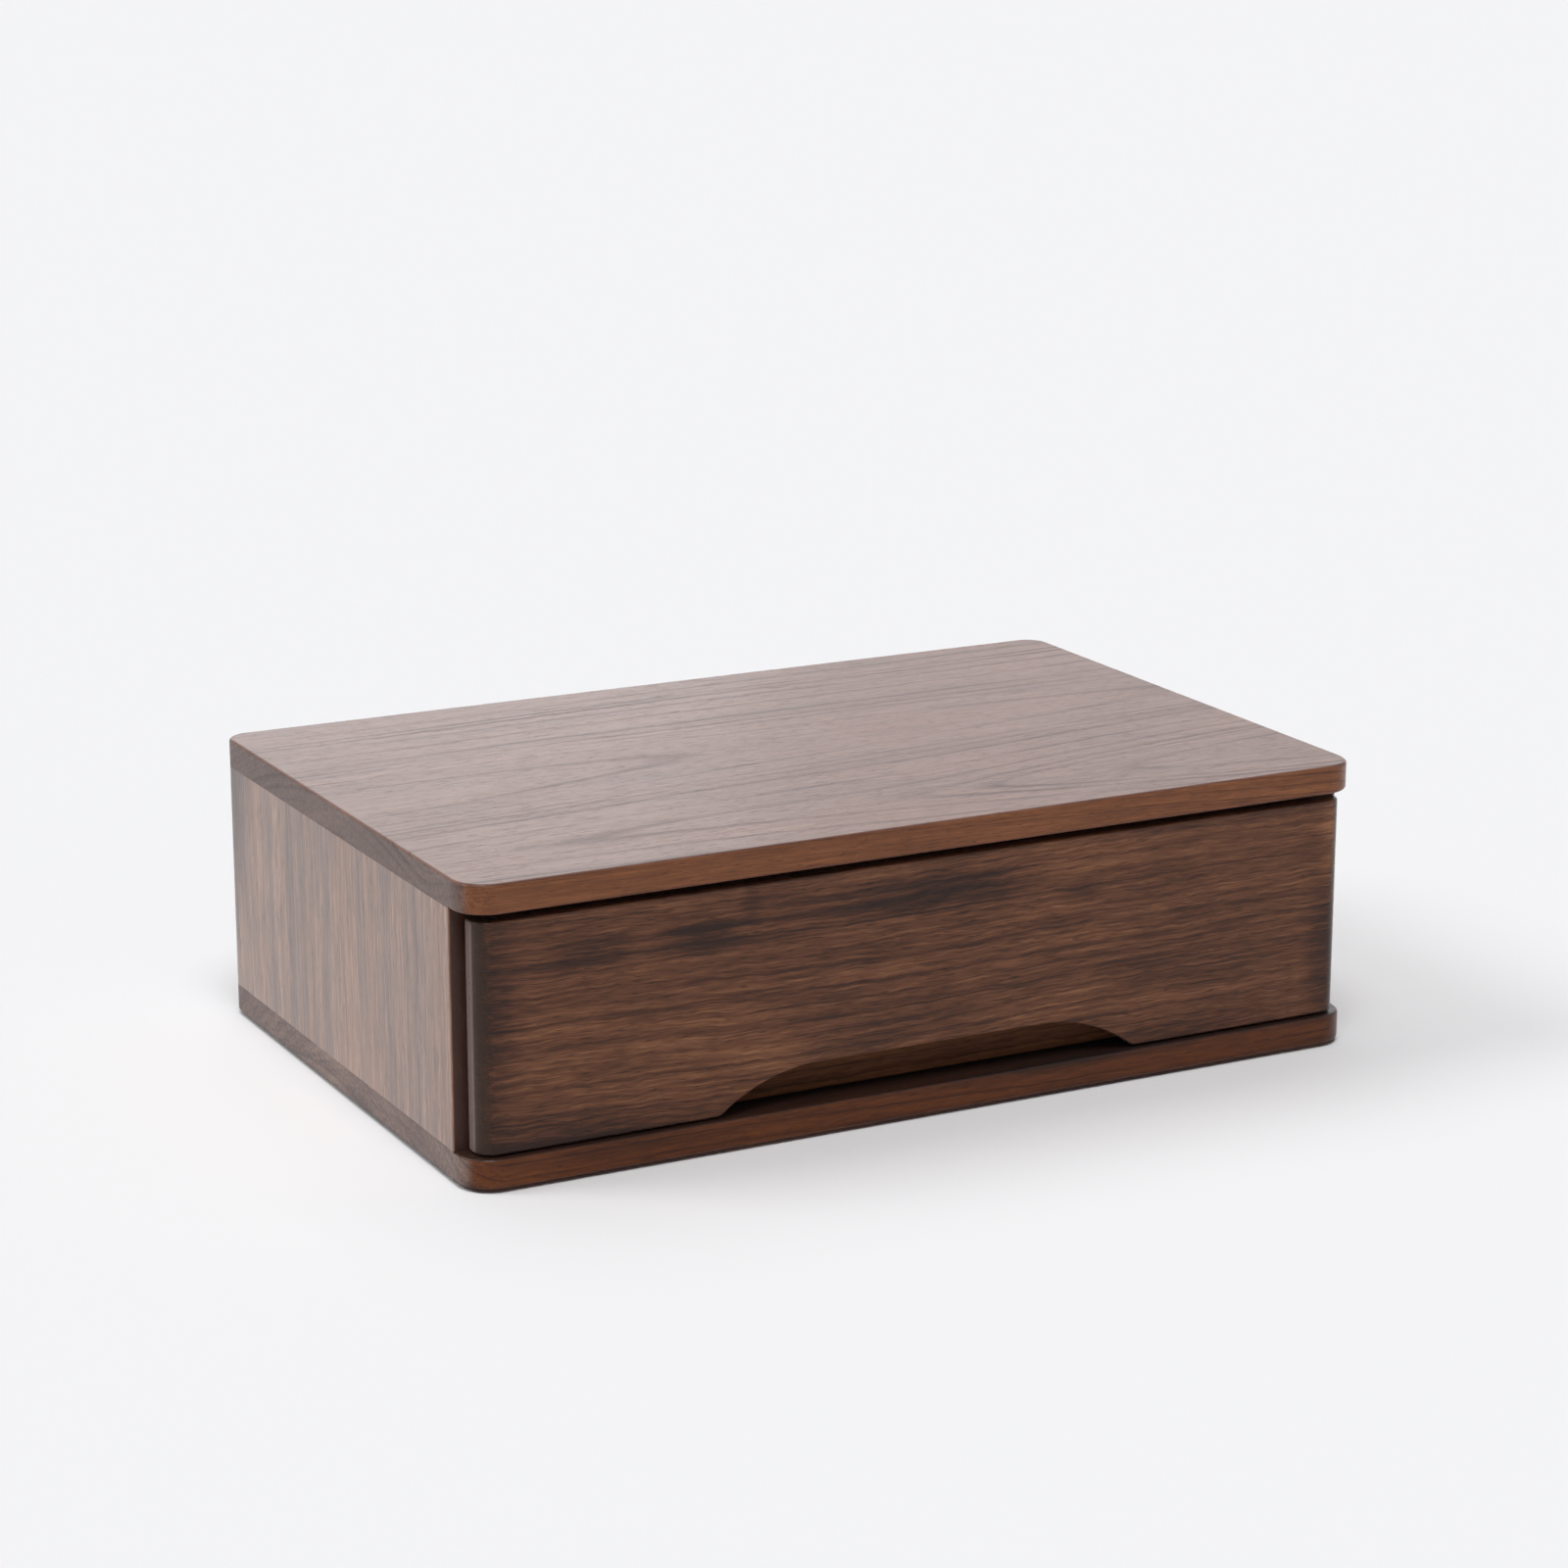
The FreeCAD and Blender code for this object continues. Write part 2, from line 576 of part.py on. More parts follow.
def drawer_back():
    """The drawer back, notched for the runners and drilled for the stop button's screw."""
    tools = [drawer_bottom_slot(), runner_groove(LEFT), runner_groove(RIGHT), button_screw_hole()]
    return cut_all(drawer_cross_wall(False), tools)


def drawer_bottom():
    """The plywood drawer bottom, held in grooves all round."""
    reach = DRAWER_BOTTOM_GROOVE_DEPTH - PANEL_SLOT_CLEARANCE
    return block(
        -BOX_INNER - reach, BOX_INNER + reach,
        BOX_FRONT_INNER - reach, BOX_REAR_INNER + reach,
        DRAWER_BOTTOM_LOW, DRAWER_BOTTOM_LOW + DRAWER_BOTTOM_THICKNESS,
    )


def bumper(side, z):
    """A small pad behind the drawer front that meets the side panel's front edge."""
    x = side * (SIDE_INNER + FRONT_HALF_WIDTH - FRONT_REAR_RADIUS) / 2
    length = SIDE_FRONT - FRONT_REAR - BUMPER_SQUEEZE_GAP
    return rod(BUMPER_RADIUS, length, FreeCAD.Vector(x, FRONT_REAR, z), -FORWARD)


def button_pivot():
    """The point on the pivot's axis at the button's front face."""
    return FreeCAD.Vector(0, BUTTON_FRONT, BUTTON_CENTRE)


def button_screw_length():
    """From the button's front face to the screw's tip."""
    return BUTTON_THICKNESS + BUTTON_FACE_GAP + BUTTON_SCREW_BITE


def button_screw_hole():
    """The hole that the button's screw fills in the button and in the drawer back."""
    length = CUT_MARGIN + button_screw_length() + SCREW_TIP_CLEARANCE
    start = button_pivot() + FORWARD * CUT_MARGIN
    return rod(BUTTON_SCREW_SHANK / 2 + ROUND_CLEARANCE, length, start, -FORWARD)


def stop_button():
    """A wooden turn button with round ends. Upright it stops the drawer, turned level it lets it out."""
    half = BUTTON_WIDTH / 2
    straight = BUTTON_LENGTH / 2 - half
    middle = block(-half, half, BUTTON_FRONT, BUTTON_REAR, BUTTON_CENTRE - straight, BUTTON_CENTRE + straight)
    ends = [
        rod(half, BUTTON_THICKNESS, FreeCAD.Vector(0, BUTTON_REAR, z), FORWARD)
        for z in (BUTTON_CENTRE - straight, BUTTON_CENTRE + straight)
    ]
    button = one_solid(middle.fuse(ends))
    button = round_edges(button, BOX_EDGE_RADIUS, lambda e: flat_at(e, "Y", BUTTON_FRONT))
    return cut_all(button, [button_screw_hole()])


def stop_button_screw():
    """A pan-head screw that the button turns on, its head just clear of the button's face."""
    shank = BUTTON_SCREW_SHANK / 2
    head = BUTTON_SCREW_HEAD / 2
    seat = -BUTTON_FACE_GAP
    crown = seat - BUTTON_SCREW_HEAD_HEIGHT
    length = button_screw_length()
    profile = [
        (0, crown),
        (head - BOX_EDGE_RADIUS, crown),
        (head, crown + BOX_EDGE_RADIUS),
        (head, seat),
        (shank, seat),
        (shank, length - SCREW_TIP_LENGTH),
        (0, length),
    ]
    place = button_pivot()
    body = turned(profile, place, -FORWARD)
    slots = drive_slots(BUTTON_SCREW_HEAD, place - FORWARD * crown, -FORWARD)
    return cut_all(body, [slots])


def nodes():
    """Every piece of the cabinet by name."""
    made = {
        "top_board": top_board(),
        "bottom_board": bottom_board(),
        "back_panel": back_panel(),
        "stop_rail": stop_rail(),
        "stop_rail_screws": [
            countersunk_screw(*stop_rail_screw_args(place)) for place in stop_rail_screw_places()
        ],
        "drawer_front": drawer_front(),
        "drawer_box_front": drawer_box_front(),
        "drawer_back": drawer_back(),
        "drawer_bottom": drawer_bottom(),
        "front_fixing_screws": [
            countersunk_screw(*front_screw_args(place)) for place in front_screw_places()
        ],
        "stop_button": stop_button(),
        "stop_button_screw": stop_button_screw(),
    }
    for side, name in SIDE_NAMES.items():
        made["side_panel_" + name] = side_panel(side)
        made["top_dowels_" + name] = [dowel(place) for place in top_dowel_places(side)]
        made["bottom_dowels_" + name] = [dowel(place) for place in bottom_dowel_places(side)]
        made["carcass_screws_" + name] = [
            countersunk_screw(*carcass_screw_args(place)) for place in carcass_screw_places(side)
        ]
        made["runner_" + name] = runner(side)
        made["runner_screws_" + name] = [
            countersunk_screw(*runner_screw_args(side, place)) for place in runner_screw_places(side)
        ]
        made["drawer_side_" + name] = drawer_side(side)
        made["foot_pad_front_" + name] = foot_pad(side, BOARD_FRONT + PAD_INSET)
        made["foot_pad_back_" + name] = foot_pad(side, BOARD_BACK - PAD_INSET)
        made["bumper_upper_" + name] = bumper(side, FRONT_HIGH - BUMPER_END_INSET)
        made["bumper_lower_" + name] = bumper(side, FRONT_LOW + BUMPER_END_INSET)
    return made


os.makedirs("parts", exist_ok=True)
for node, shape in nodes().items():
    if isinstance(shape, list):
        shape = Part.makeCompound(shape)
    shape.exportStep("parts/" + node + ".step")
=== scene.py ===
# %% [markdown]
# A desktop cabinet in satin walnut, with one wide drawer.
# The boards, the drawer and the hardware arrive here as exact shapes. This file gives them what a drawing
# can't: the light that they stand in, the figure of the timber, and the sheen of a rubbed finish.
# It goes in the order of a small photo studio: unpack the cabinet, set up the camera, lay the floor, place
# the lights, then finish one material after another, with the boards that the camera sees first.

# %% Unpack the cabinet
import math

import bmesh
import bpy
from mathutils import Euler, Matrix, Vector


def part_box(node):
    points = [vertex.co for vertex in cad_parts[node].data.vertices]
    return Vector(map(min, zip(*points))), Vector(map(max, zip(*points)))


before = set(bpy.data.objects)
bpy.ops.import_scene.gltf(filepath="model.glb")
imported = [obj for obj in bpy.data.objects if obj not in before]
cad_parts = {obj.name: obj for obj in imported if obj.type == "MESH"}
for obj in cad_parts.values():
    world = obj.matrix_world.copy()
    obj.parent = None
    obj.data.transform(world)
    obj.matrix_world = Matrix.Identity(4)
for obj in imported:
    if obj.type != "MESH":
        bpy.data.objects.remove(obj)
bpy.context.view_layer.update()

print("pieces:", len(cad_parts))

# %% [markdown]
# The camera.
# The cabinet was photographed from its front left, a little above it, with a long lens: its long edges
# barely converge. A camera could be aimed by eye, but then every edge is slightly off. Here the place, the
# aim and the lens come from the lines of the boards, so the picture can be laid over the photograph.
# An aim vector is turned into a rotation with to_track_quat: a camera looks along its own -Z, with Y up.

# %% Camera
CAMERA_PLACE = Vector((-0.75910, -1.45901, 0.54479))
CAMERA_AIM = Vector((0.44600, 0.85712, -0.25773))
CAMERA_LENS_MM = 93.39

camera = bpy.data.objects.new("studio_camera", bpy.data.cameras.new("studio_camera"))
camera.data.lens = CAMERA_LENS_MM
camera.data.sensor_width = 36.0
camera.data.clip_start = 0.05
camera.data.clip_end = 200.0
camera.matrix_world = Matrix.LocRotScale(CAMERA_PLACE, CAMERA_AIM.to_track_quat("-Z", "Y"), None)
bpy.context.scene.collection.objects.link(camera)
bpy.context.scene.camera = camera
bpy.context.scene.view_settings.view_transform = "Standard"

print("camera looks down by", round(math.degrees(math.asin(-CAMERA_AIM.z)), 1), "degrees")

# %% [markdown]
# Mixing a finish.
# A procedural material is a tree of small nodes, and most of the typing is adding nodes and joining them.
# A short class keeps the tree at hand, so that each step of a recipe below is one line: noise stretched
# along the grain, a number faded from one value to another, two colours mixed.

# %% Helper for materials
def add_node(tree, kind, inputs=None, **settings):
    """A new node. An input that is given another node's output is joined to it, any other is set."""
    made = tree.nodes.new(kind)
    for option, value in settings.items():
        setattr(made, option, value)
    for name, value in (inputs or {}).items():
        if isinstance(value, bpy.types.NodeSocket):
            tree.links.new(value, made.inputs[name])
        else:
            made.inputs[name].default_value = value
    return made


class Finish:
    """One material while it is mixed. Every method adds a node and gives back the output to go on with."""

    def __init__(self, name):
        self.material = bpy.data.materials.new(name)
        self.material.use_nodes = True
        self.tree = self.material.node_tree
        self.tree.nodes.clear()

    def node(self, kind, inputs=None, **settings):
        return add_node(self.tree, kind, inputs, **settings)

    def maths(self, operation, *values):
        return self.node("ShaderNodeMath", dict(enumerate(values)), operation=operation).outputs[0]

    def vectors(self, operation, *values):
        made = self.node("ShaderNodeVectorMath", dict(enumerate(values)), operation=operation)
        scalar = operation in ("LENGTH", "DOT_PRODUCT")
        return made.outputs["Value" if scalar else "Vector"]

    def parts(self, vector):
        """The three numbers of a vector."""
        return self.node("ShaderNodeSeparateXYZ", {0: vector}).outputs

    def noise(self, place, stretch, shift=0.0, detail=2.0, colour=False):
        """Noise with so many features to the metre along, across and through the board."""
        inputs = {"Vector": place, "Scale": stretch, "Location": (shift, shift, shift)}
        spread = self.node("ShaderNodeMapping", inputs).outputs[0]
        made = self.node("ShaderNodeTexNoise", {"Vector": spread, "Scale": 1.0, "Detail": detail})
        return made.outputs["Color" if colour else "Fac"]

    def fade(self, value, low, high, start=0.0, end=1.0, linear=False):
        """start where value is at low, end where it is at high, with a soft curve or a line between."""
        inputs = {"Value": value, "From Min": low, "From Max": high, "To Min": start, "To Max": end}
        curve = "LINEAR" if linear else "SMOOTHSTEP"
        return self.node("ShaderNodeMapRange", inputs, interpolation_type=curve).outputs[0]

    def scaled(self, vector, share):
        return self.node("ShaderNodeVectorMath", {0: vector, "Scale": share}, operation="SCALE").outputs[0]

    def mix(self, share, first, second, blend="MIX"):
        inputs = {0: share, 6: first, 7: second}
        return self.node("ShaderNodeMix", inputs, data_type="RGBA", blend_type=blend).outputs[2]

    def ramp(self, value, stops):
        made = self.node("ShaderNodeValToRGB", {"Fac": value})
        points = made.color_ramp.elements
        while len(points) < len(stops):
            points.new(0.5)
        for point, (position, colour) in zip(points, stops):
            point.position = position
            point.color = (*colour, 1.0)
        return made.outputs["Color"]

    def surface(self, colour, roughness, height, depth, **constants):
        """The shader: its constants are set on the sockets themselves, so that they outlive an export."""
        bump = self.node("ShaderNodeBump", {"Height": height, "Distance": depth, "Strength": 1.0})
        inputs = {"Base Color": colour, "Roughness": roughness, "Normal": bump.outputs[0], **constants}
        shader = self.node("ShaderNodeBsdfPrincipled", inputs)
        self.node("ShaderNodeOutputMaterial", {"Surface": shader.outputs[0]})
        print(self.material.name, "has", len(self.tree.nodes), "nodes")
        return self.material

# %% [markdown]
# The floor.
# A studio floor is a pale matt sheet that runs on out of sight, so there is no line where it ends. A large
# disc does that for every view round the cabinet. It is lit like everything else, so it keeps the soft
# shadow. It lies a tenth of a millimetre low, so that it and the feet don't share one face. Seen from below
# it is clear, which leaves the underside of the cabinet in view. No lamp reaches into the narrow gap there,
# so the floor sends a faint even glow to whatever is closer to it than 4 mm.

# %% Floor
FLOOR_REACH = 60.0
FLOOR_SIDES = 96
FLOOR_GAP = 0.0001
UNDERSIDE_REACH = 0.004
UNDERSIDE_GLOW = 0.6
FLOOR_COLOUR = (0.91, 0.91, 0.925, 1.0)

sheet = bmesh.new()
bmesh.ops.create_circle(sheet, cap_ends=True, cap_tris=False, segments=FLOOR_SIDES, radius=FLOOR_REACH,
                        matrix=Matrix.Translation((0.0, 0.0, -FLOOR_GAP)))
floor_mesh = bpy.data.meshes.new("studio_floor")
sheet.to_mesh(floor_mesh)
sheet.free()
floor = bpy.data.objects.new("studio_floor", floor_mesh)
bpy.context.scene.collection.objects.link(floor)

paper = Finish("matt_paper")
matt = paper.node("ShaderNodeBsdfDiffuse", {"Color": FLOOR_COLOUR}).outputs[0]
clear = paper.node("ShaderNodeBsdfTransparent").outputs[0]
from_below = paper.node("ShaderNodeNewGeometry").outputs["Backfacing"]
one_sided = paper.node("ShaderNodeMixShader", {0: from_below, 1: matt, 2: clear}).outputs[0]
ray = paper.node("ShaderNodeLightPath").outputs
near_by = paper.maths("LESS_THAN", ray["Ray Length"], UNDERSIDE_REACH)
near_by = paper.maths("MULTIPLY", near_by, ray["Is Diffuse Ray"])
glow = paper.node("ShaderNodeEmission", {"Color": FLOOR_COLOUR, "Strength": UNDERSIDE_GLOW}).outputs[0]
floor_shader = paper.node("ShaderNodeMixShader", {0: near_by, 1: one_sided, 2: glow}).outputs[0]
paper.node("ShaderNodeOutputMaterial", {"Surface": floor_shader})
floor_mesh.materials.append(paper.material)
print("floor normal", floor_mesh.polygons[0].normal)

# %% [markdown]
# The light.
# The photograph has a big soft light overhead, a little to the front left, and a wider and weaker one a
# little to the back. A smaller one stands behind the left shoulder of the cabinet and throws the pale shadow
# to the right. There is little light from the front, so every gap and the finger pocket are nearly black. A
# sun lamp with a wide angle is such a soft light, and it falls on the whole floor evenly. The air of the
# room, which is the world, adds a tenth. The lens and the reflections see the white of the studio instead,
# as bright as the floor.

# %% Room and lamps
ROOM_LIGHT = 0.11
AIR_COLOUR = (0.98, 0.99, 1.0, 1.0)
# The bearing, the height and the width of a lamp in degrees, and its share of the light on the floor
LAMPS = {
    "ceiling_light": (-115, 66, 30, 0.50),
    "rear_light": (90, 70, 60, 0.20),
    "window_light": (155, 42, 26, 0.19),
}


def towards(bearing, height):
    """The direction to a light: its bearing from +X and its height above the floor, in degrees."""
    bearing, height = math.radians(bearing), math.radians(height)
    level = math.cos(height)
    return Vector((math.cos(bearing) * level, math.sin(bearing) * level, math.sin(height)))


def add_lamp(name, kind, place, aim):
    lamp = bpy.data.objects.new(name, bpy.data.lights.new(name, kind))
    lamp.matrix_world = Matrix.LocRotScale(place, aim.to_track_quat("-Z", "Y"), None)
    bpy.context.scene.collection.objects.link(lamp)
    return lamp


room = bpy.data.worlds.new("studio_room")
room.use_nodes = True
tree = room.node_tree
tree.nodes.clear()
ray = add_node(tree, "ShaderNodeLightPath").outputs
seen = ray["Is Camera Ray"]
for kind in ("Is Glossy Ray", "Is Transmission Ray"):
    seen = add_node(tree, "ShaderNodeMath", {0: seen, 1: ray[kind]}, operation="MAXIMUM").outputs[0]
air = add_node(tree, "ShaderNodeBackground", {"Color": AIR_COLOUR, "Strength": ROOM_LIGHT}).outputs[0]
wall = add_node(tree, "ShaderNodeBackground", {"Color": FLOOR_COLOUR, "Strength": 1.0}).outputs[0]
both = add_node(tree, "ShaderNodeMixShader", {0: seen, 1: air, 2: wall}).outputs[0]
add_node(tree, "ShaderNodeOutputWorld", {"Surface": both})
bpy.context.scene.world = room

for name, (bearing, height, width, share) in LAMPS.items():
    lamp = add_lamp(name, "SUN", None, -towards(bearing, height))
    lamp.data.energy = share * math.pi / math.sin(math.radians(height))
    lamp.data.angle = math.radians(width)
print("light on the floor:", round(ROOM_LIGHT + sum(lamp[3] for lamp in LAMPS.values()), 2))

# %% [markdown]
# Two softboxes.
# Satin timber seen at a flat angle mirrors what stands behind it, and that is what makes the top so pale.
# Both softboxes stand behind the cabinet, on its right. The far one is wide, for an even sheen on the whole
# top. The near one is small and adds the paler left part of it. They are area lamps that only show in
# reflections: their light is taken off matt surfaces, so that the floor stays even, and the lens doesn't
# see them.

# %% Softboxes
# The place, the width and height in metres, and the power in watts
SOFTBOXES = {
    "softbox_back": (Vector((2.4, 4.6, 1.6)), (6.0, 2.8), 37.0),
    "softbox_near": (Vector((0.33, 1.6, 0.65)), (0.9, 0.9), 1.5),
}
for name, (place, (width, height), power) in SOFTBOXES.items():
    lamp = add_lamp(name, "AREA", place, -place)
    lamp.data.shape = "RECTANGLE"
    lamp.data.size = width
    lamp.data.size_y = height
    lamp.data.energy = power
    lamp.visible_camera = False
    lamp.visible_diffuse = False
    print(name, "has a brightness of", round(power / math.pi / width / height, 2))

# %% [markdown]
# Walnut.
# A board is cut from a log, so its pattern runs right through it: long lines on the face, arches where the
# face touches a growth ring, small arcs and dots on the sawn ends. A flat picture of grain can't turn those
# corners. So the timber is made as a solid: growth rings round the heart of the log, which lies outside the
# board, bent by slow noise, with streaks, fibres and pores stretched along the grain. Each board has its own
# heart, its own ring width and its own piece of the noise, as boards from one tree have.
#
# The board's own frame comes first: x along the grain, y across the board, z out of its good face. A Mapping
# node in Texture mode turns the object's coordinates into it. Both side panels take the same turn, so z
# points outwards on the left one and inwards on the right one.

# %% Board frames
ALONG_X = Euler((0.0, 0.0, 0.0))
UPRIGHT = Euler((0.0, math.radians(-90), 0.0))
FACING_FRONT = Euler((math.radians(90), 0.0, 0.0))
SIDEWAYS = Euler((math.radians(90), 0.0, math.radians(90)))

# How square to the grain a surface starts to count as an end, and how square it counts in full. The sharp
# zone leaves the rounded corners of a board to its edges. A face is told from an edge in the same way.
END_ZONE = (0.45, 0.80)
SHARP_END_ZONE = (0.74, 0.96)
FACE_ZONE = (0.3, 0.8)


def middle_of(node):
    low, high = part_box(node)
    return (Vector(low) + Vector(high)) / 2


def board_frame(mix, node, turn, end_zone=END_ZONE):
    """Object coordinates as the board has them, and two masks: one on the sawn ends, one on all edges."""
    coordinates = mix.node("ShaderNodeTexCoord").outputs
    place = {"Vector": coordinates["Object"], "Location": middle_of(node), "Rotation": turn}
    board = mix.node("ShaderNodeMapping", place, vector_type="TEXTURE").outputs[0]
    grain = turn.to_matrix() @ Vector((1.0, 0.0, 0.0))
    out_of_face = turn.to_matrix() @ Vector((0.0, 0.0, 1.0))
    ends = mix.maths("ABSOLUTE", mix.vectors("DOT_PRODUCT", coordinates["Normal"], grain))
    face = mix.maths("ABSOLUTE", mix.vectors("DOT_PRODUCT", coordinates["Normal"], out_of_face))
    return board, mix.fade(ends, *end_zone), mix.fade(face, *FACE_ZONE, 1.0, 0.0)


print("middle of the top board in mm:", [round(1000 * value, 1) for value in middle_of("top_board")])

# %% [markdown]
# Where the rings lie.
# The distance from the heart line gives the growth ring. The heart leans a little in the board, noise bends
# it, and a bulge here and there lifts the rings towards the face, which makes the tongues on the top. A fold
# mirrors the rings about a line, as beside a branch, and gives the second family of tongues at the front.
#
# A ring darkens slowly over its width and ends sharply, because summer wood is dense and the next spring
# starts afresh. No two years are alike, so noise along the radius shifts and weakens the rings.

# %% Growth rings
HALF_BOARD = 0.006
# Noise along the radius: how often it changes in a ring, and how many rings it can shift one
RING_NOISE_PACE = 0.7
RING_SHIFT = 1.7
# Where in a ring the dark rim builds up, and where it ends
RIM_DARKENS = (0.66, 0.92)
RIM_ENDS = (0.94, 1.0)
# The noise at which a year is faint, or full, and how deep it is then
FAINT_YEAR = (0.30, 0.45)
FULL_YEAR = (0.60, 1.0)
# The radii that hold all marked years, and how much of its half width a mark needs to fall off outside
MARKED_REACH = (-0.002, 0.030)
MARK_FALLS_OFF = 0.35


def warped(mix, place, stretch, seed, reach):
    """The place, pushed about by noise: reach gives the push along, across and through the board."""
    push = mix.vectors("SUBTRACT", mix.noise(place, stretch, seed, colour=True), (0.5, 0.5, 0.5))
    return mix.vectors("ADD", place, mix.vectors("MULTIPLY", push, reach))


def blot(mix, place, along, across, length, width):
    """Nought in the middle of an oval, one at its rim."""
    there = {"Vector": place, "Location": (along, across, 0.0), "Scale": (length, width, 1.0)}
    flat = mix.node("ShaderNodeMapping", there, vector_type="TEXTURE").outputs[0]
    return mix.vectors("LENGTH", mix.vectors("MULTIPLY", flat, (1.0, 1.0, 0.0)))


def ring_radius(mix, board, flow, heart, lean, bulges, fold):
    """The distance from the heart line, in metres, less what it is on the good face right over the heart."""
    x, y, z = mix.parts(flow)
    if fold:
        crest, softness = fold
        aside = mix.maths("SUBTRACT", y, crest)
        aside = mix.maths("SQRT", mix.maths("ADD", mix.maths("MULTIPLY", aside, aside), softness ** 2))
        y = mix.maths("ADD", aside, crest)
    y = mix.maths("SUBTRACT", y, mix.maths("MULTIPLY_ADD", x, lean[0], heart[0]))
    z = mix.maths("SUBTRACT", z, mix.maths("MULTIPLY_ADD", x, lean[1], heart[1]))
    radius = mix.vectors("LENGTH", mix.node("ShaderNodeCombineXYZ", {1: y, 2: z}).outputs[0])
    radius = mix.maths("SUBTRACT", radius, abs(HALF_BOARD - heart[1]))
    for along, across, length, width, lift in bulges:
        near = blot(mix, board, along, across, length, width)
        radius = mix.maths("ADD", radius, mix.fade(near, 0.0, 1.0, lift, 0.0))
    return radius


def late_wood(mix, radius, ring, seed):
    """One at the dark rim of a ring, falling off sharply outside it and slowly inside it."""
    turns = mix.maths("DIVIDE", radius, ring)
    place = {"W": mix.maths("ADD", turns, seed), "Scale": RING_NOISE_PACE}
    uneven = mix.node("ShaderNodeTexNoise", place, noise_dimensions="1D").outputs[0]
    year = mix.maths("FRACT", mix.maths("MULTIPLY_ADD", uneven, RING_SHIFT, turns))
    rim = mix.maths("MULTIPLY", mix.fade(year, *RIM_DARKENS), mix.fade(year, *RIM_ENDS, 1.0, 0.0))
    depth = mix.fade(uneven, FAINT_YEAR[0], FULL_YEAR[0], FAINT_YEAR[1], FULL_YEAR[1])
    return mix.maths("MULTIPLY", rim, depth)


def marked_years(mix, radius, years):
    """A colour ramp along the radius with one dark peak for each marked year: (radius, half width, depth)."""
    low, high = MARKED_REACH
    stops = [(0.0, (0.0,) * 3)]
    for middle, half, depth in years:
        for place, value in ((middle - half, 0.0), (middle, depth), (middle + MARK_FALLS_OFF * half, 0.0)):
            stops.append(((place - low) / (high - low), (value,) * 3))
    return mix.ramp(mix.fade(radius, low, high, linear=True), stops)


print("thickness of a board in mm:", round(2000 * HALF_BOARD, 1))

# %% [markdown]
# What the eye sees of the wood.
# The colour goes from near black in the late wood and the streaks to a warm brown, over one ramp, so that
# every layer only adds or takes a share of one number. The pores are short dark dashes, and the hue drifts
# slowly between redder and bluer bands.
#
# The sawn ends drink more oil, so they are duller, and they and the long edges have tints of their own. The
# tint of the
# sawn ends is painted light: it makes them paler and greyer, as the light from the left does. Late wood and
# pores are
# duller too: at a flat angle it is this change of gloss, more than the colour, that draws the figure on the
# top.

# %% Walnut colours and layers
WALNUT_TONES = [
    (0.00, (0.026, 0.011, 0.008)),
    (0.28, (0.062, 0.024, 0.014)),
    (0.55, (0.122, 0.050, 0.026)),
    (0.80, (0.195, 0.086, 0.045)),
    (1.00, (0.290, 0.142, 0.076)),
]
MIDDLE_TONE = 0.55
PLAIN = (1.0, 1.0, 1.0)
EDGE_TINT = (1.45, 1.15, 0.72)
DEEP_BROWN = (0.036, 0.0060, 0.0005, 1.0)
REDDER_LESS_BLUE = (0.4, 0.0, -1.0)

# How much each layer counts where a board doesn't ask for anything else
LAYERS = {
    "rings": 0.32, "marks": 0.34, "streaks": 0.55, "threads": 0.46, "fibres": 0.50, "cloud": 0.55,
    "ends": 0.35, "pores": 0.45, "hue": 0.0,
}

# Noise features to the metre: along, across and through the board
SLOW_BENDS = (3.0, 7.0, 7.0)
QUICK_BENDS = (75.0, 50.0, 50.0)
WAVES = (18.0, 16.0, 16.0)
STREAKS = (3.5, 210.0, 60.0)
THREADS = (24.0, 640.0, 640.0)
FIBRES = (90.0, 1400.0, 1400.0)
PORES = (150.0, 2600.0, 2600.0)
CLOUDS = (7.0, 16.0, 16.0)
GAPS_IN_RINGS = (9.0, 40.0, 40.0)
HUE_BANDS = (2.0, 55.0, 55.0)

# How far the bends push the figure across the board in metres, and how much of the way across the board
# counts where the streaks follow the rings
SLOW_PUSH = 0.016
QUICK_PUSH = 0.0022
STREAKS_ACROSS = 0.35

# Only the peaks of the noise are pores. Where the gap noise is low, a ring keeps this share of its depth.
PORE_PEAKS = (0.60, 0.72)
GAP_ZONE = (0.35, 0.62)
LEFT_IN_GAP = 0.30

# The shader: a satin skin, how dull the pores are, what dullness and threads do to the roughness, and the
# depth of the open grain
SATIN = {"Specular IOR Level": 0.30, "Sheen Weight": 0.10, "Sheen Roughness": 0.4}
PORE_DULLNESS = 0.4
DULL_ROUGHNESS = 0.30
THREAD_GLOSS = 0.10
GRAIN_DEPTH = 0.00005


def hue_drifted(mix, wood, flow, seed, share):
    """The wood a little redder here and a little bluer there, in long bands."""
    warm = mix.maths("MULTIPLY", mix.maths("SUBTRACT", mix.noise(flow, HUE_BANDS, seed), 0.5), share)
    return mix.vectors("MULTIPLY", wood, mix.vectors("ADD", mix.scaled(REDDER_LESS_BLUE, warm), PLAIN))


print("layers of the walnut:", ", ".join(LAYERS))

# %% [markdown]
# Smoke, painted shade and painted highlight.
# Four marks belong to a place on a board and not to its timber. Smoky patches are dark, or pale where their
# depth is below nought; at the ends of the drawer front they are painted shade and a painted highlight, and
# along its lower edge they are partly painted shade. The face of the bottom board is painted darker where the
# drawer covers it, as painted shade. The front edges of the side panels, behind the drawer front, fall off to
# a deep brown, as painted shadow. And the ends of the drawer front are painted: a dark rim of painted shade,
# with a thin pale line of painted highlight on the very edge. All of them are put in the board's own frame,
# in metres from its middle, so a mark stays where it is when the figure of the wood changes.

# %% Marks on a board
SMOKE_CORE = 0.05
SMOKE_RIM = 0.90
COVERED_BY_DRAWER = (0.105, 0.100)
UPPER_HALF = (0.0, 0.001)
FRONT_EDGE = (-0.100, -0.110)


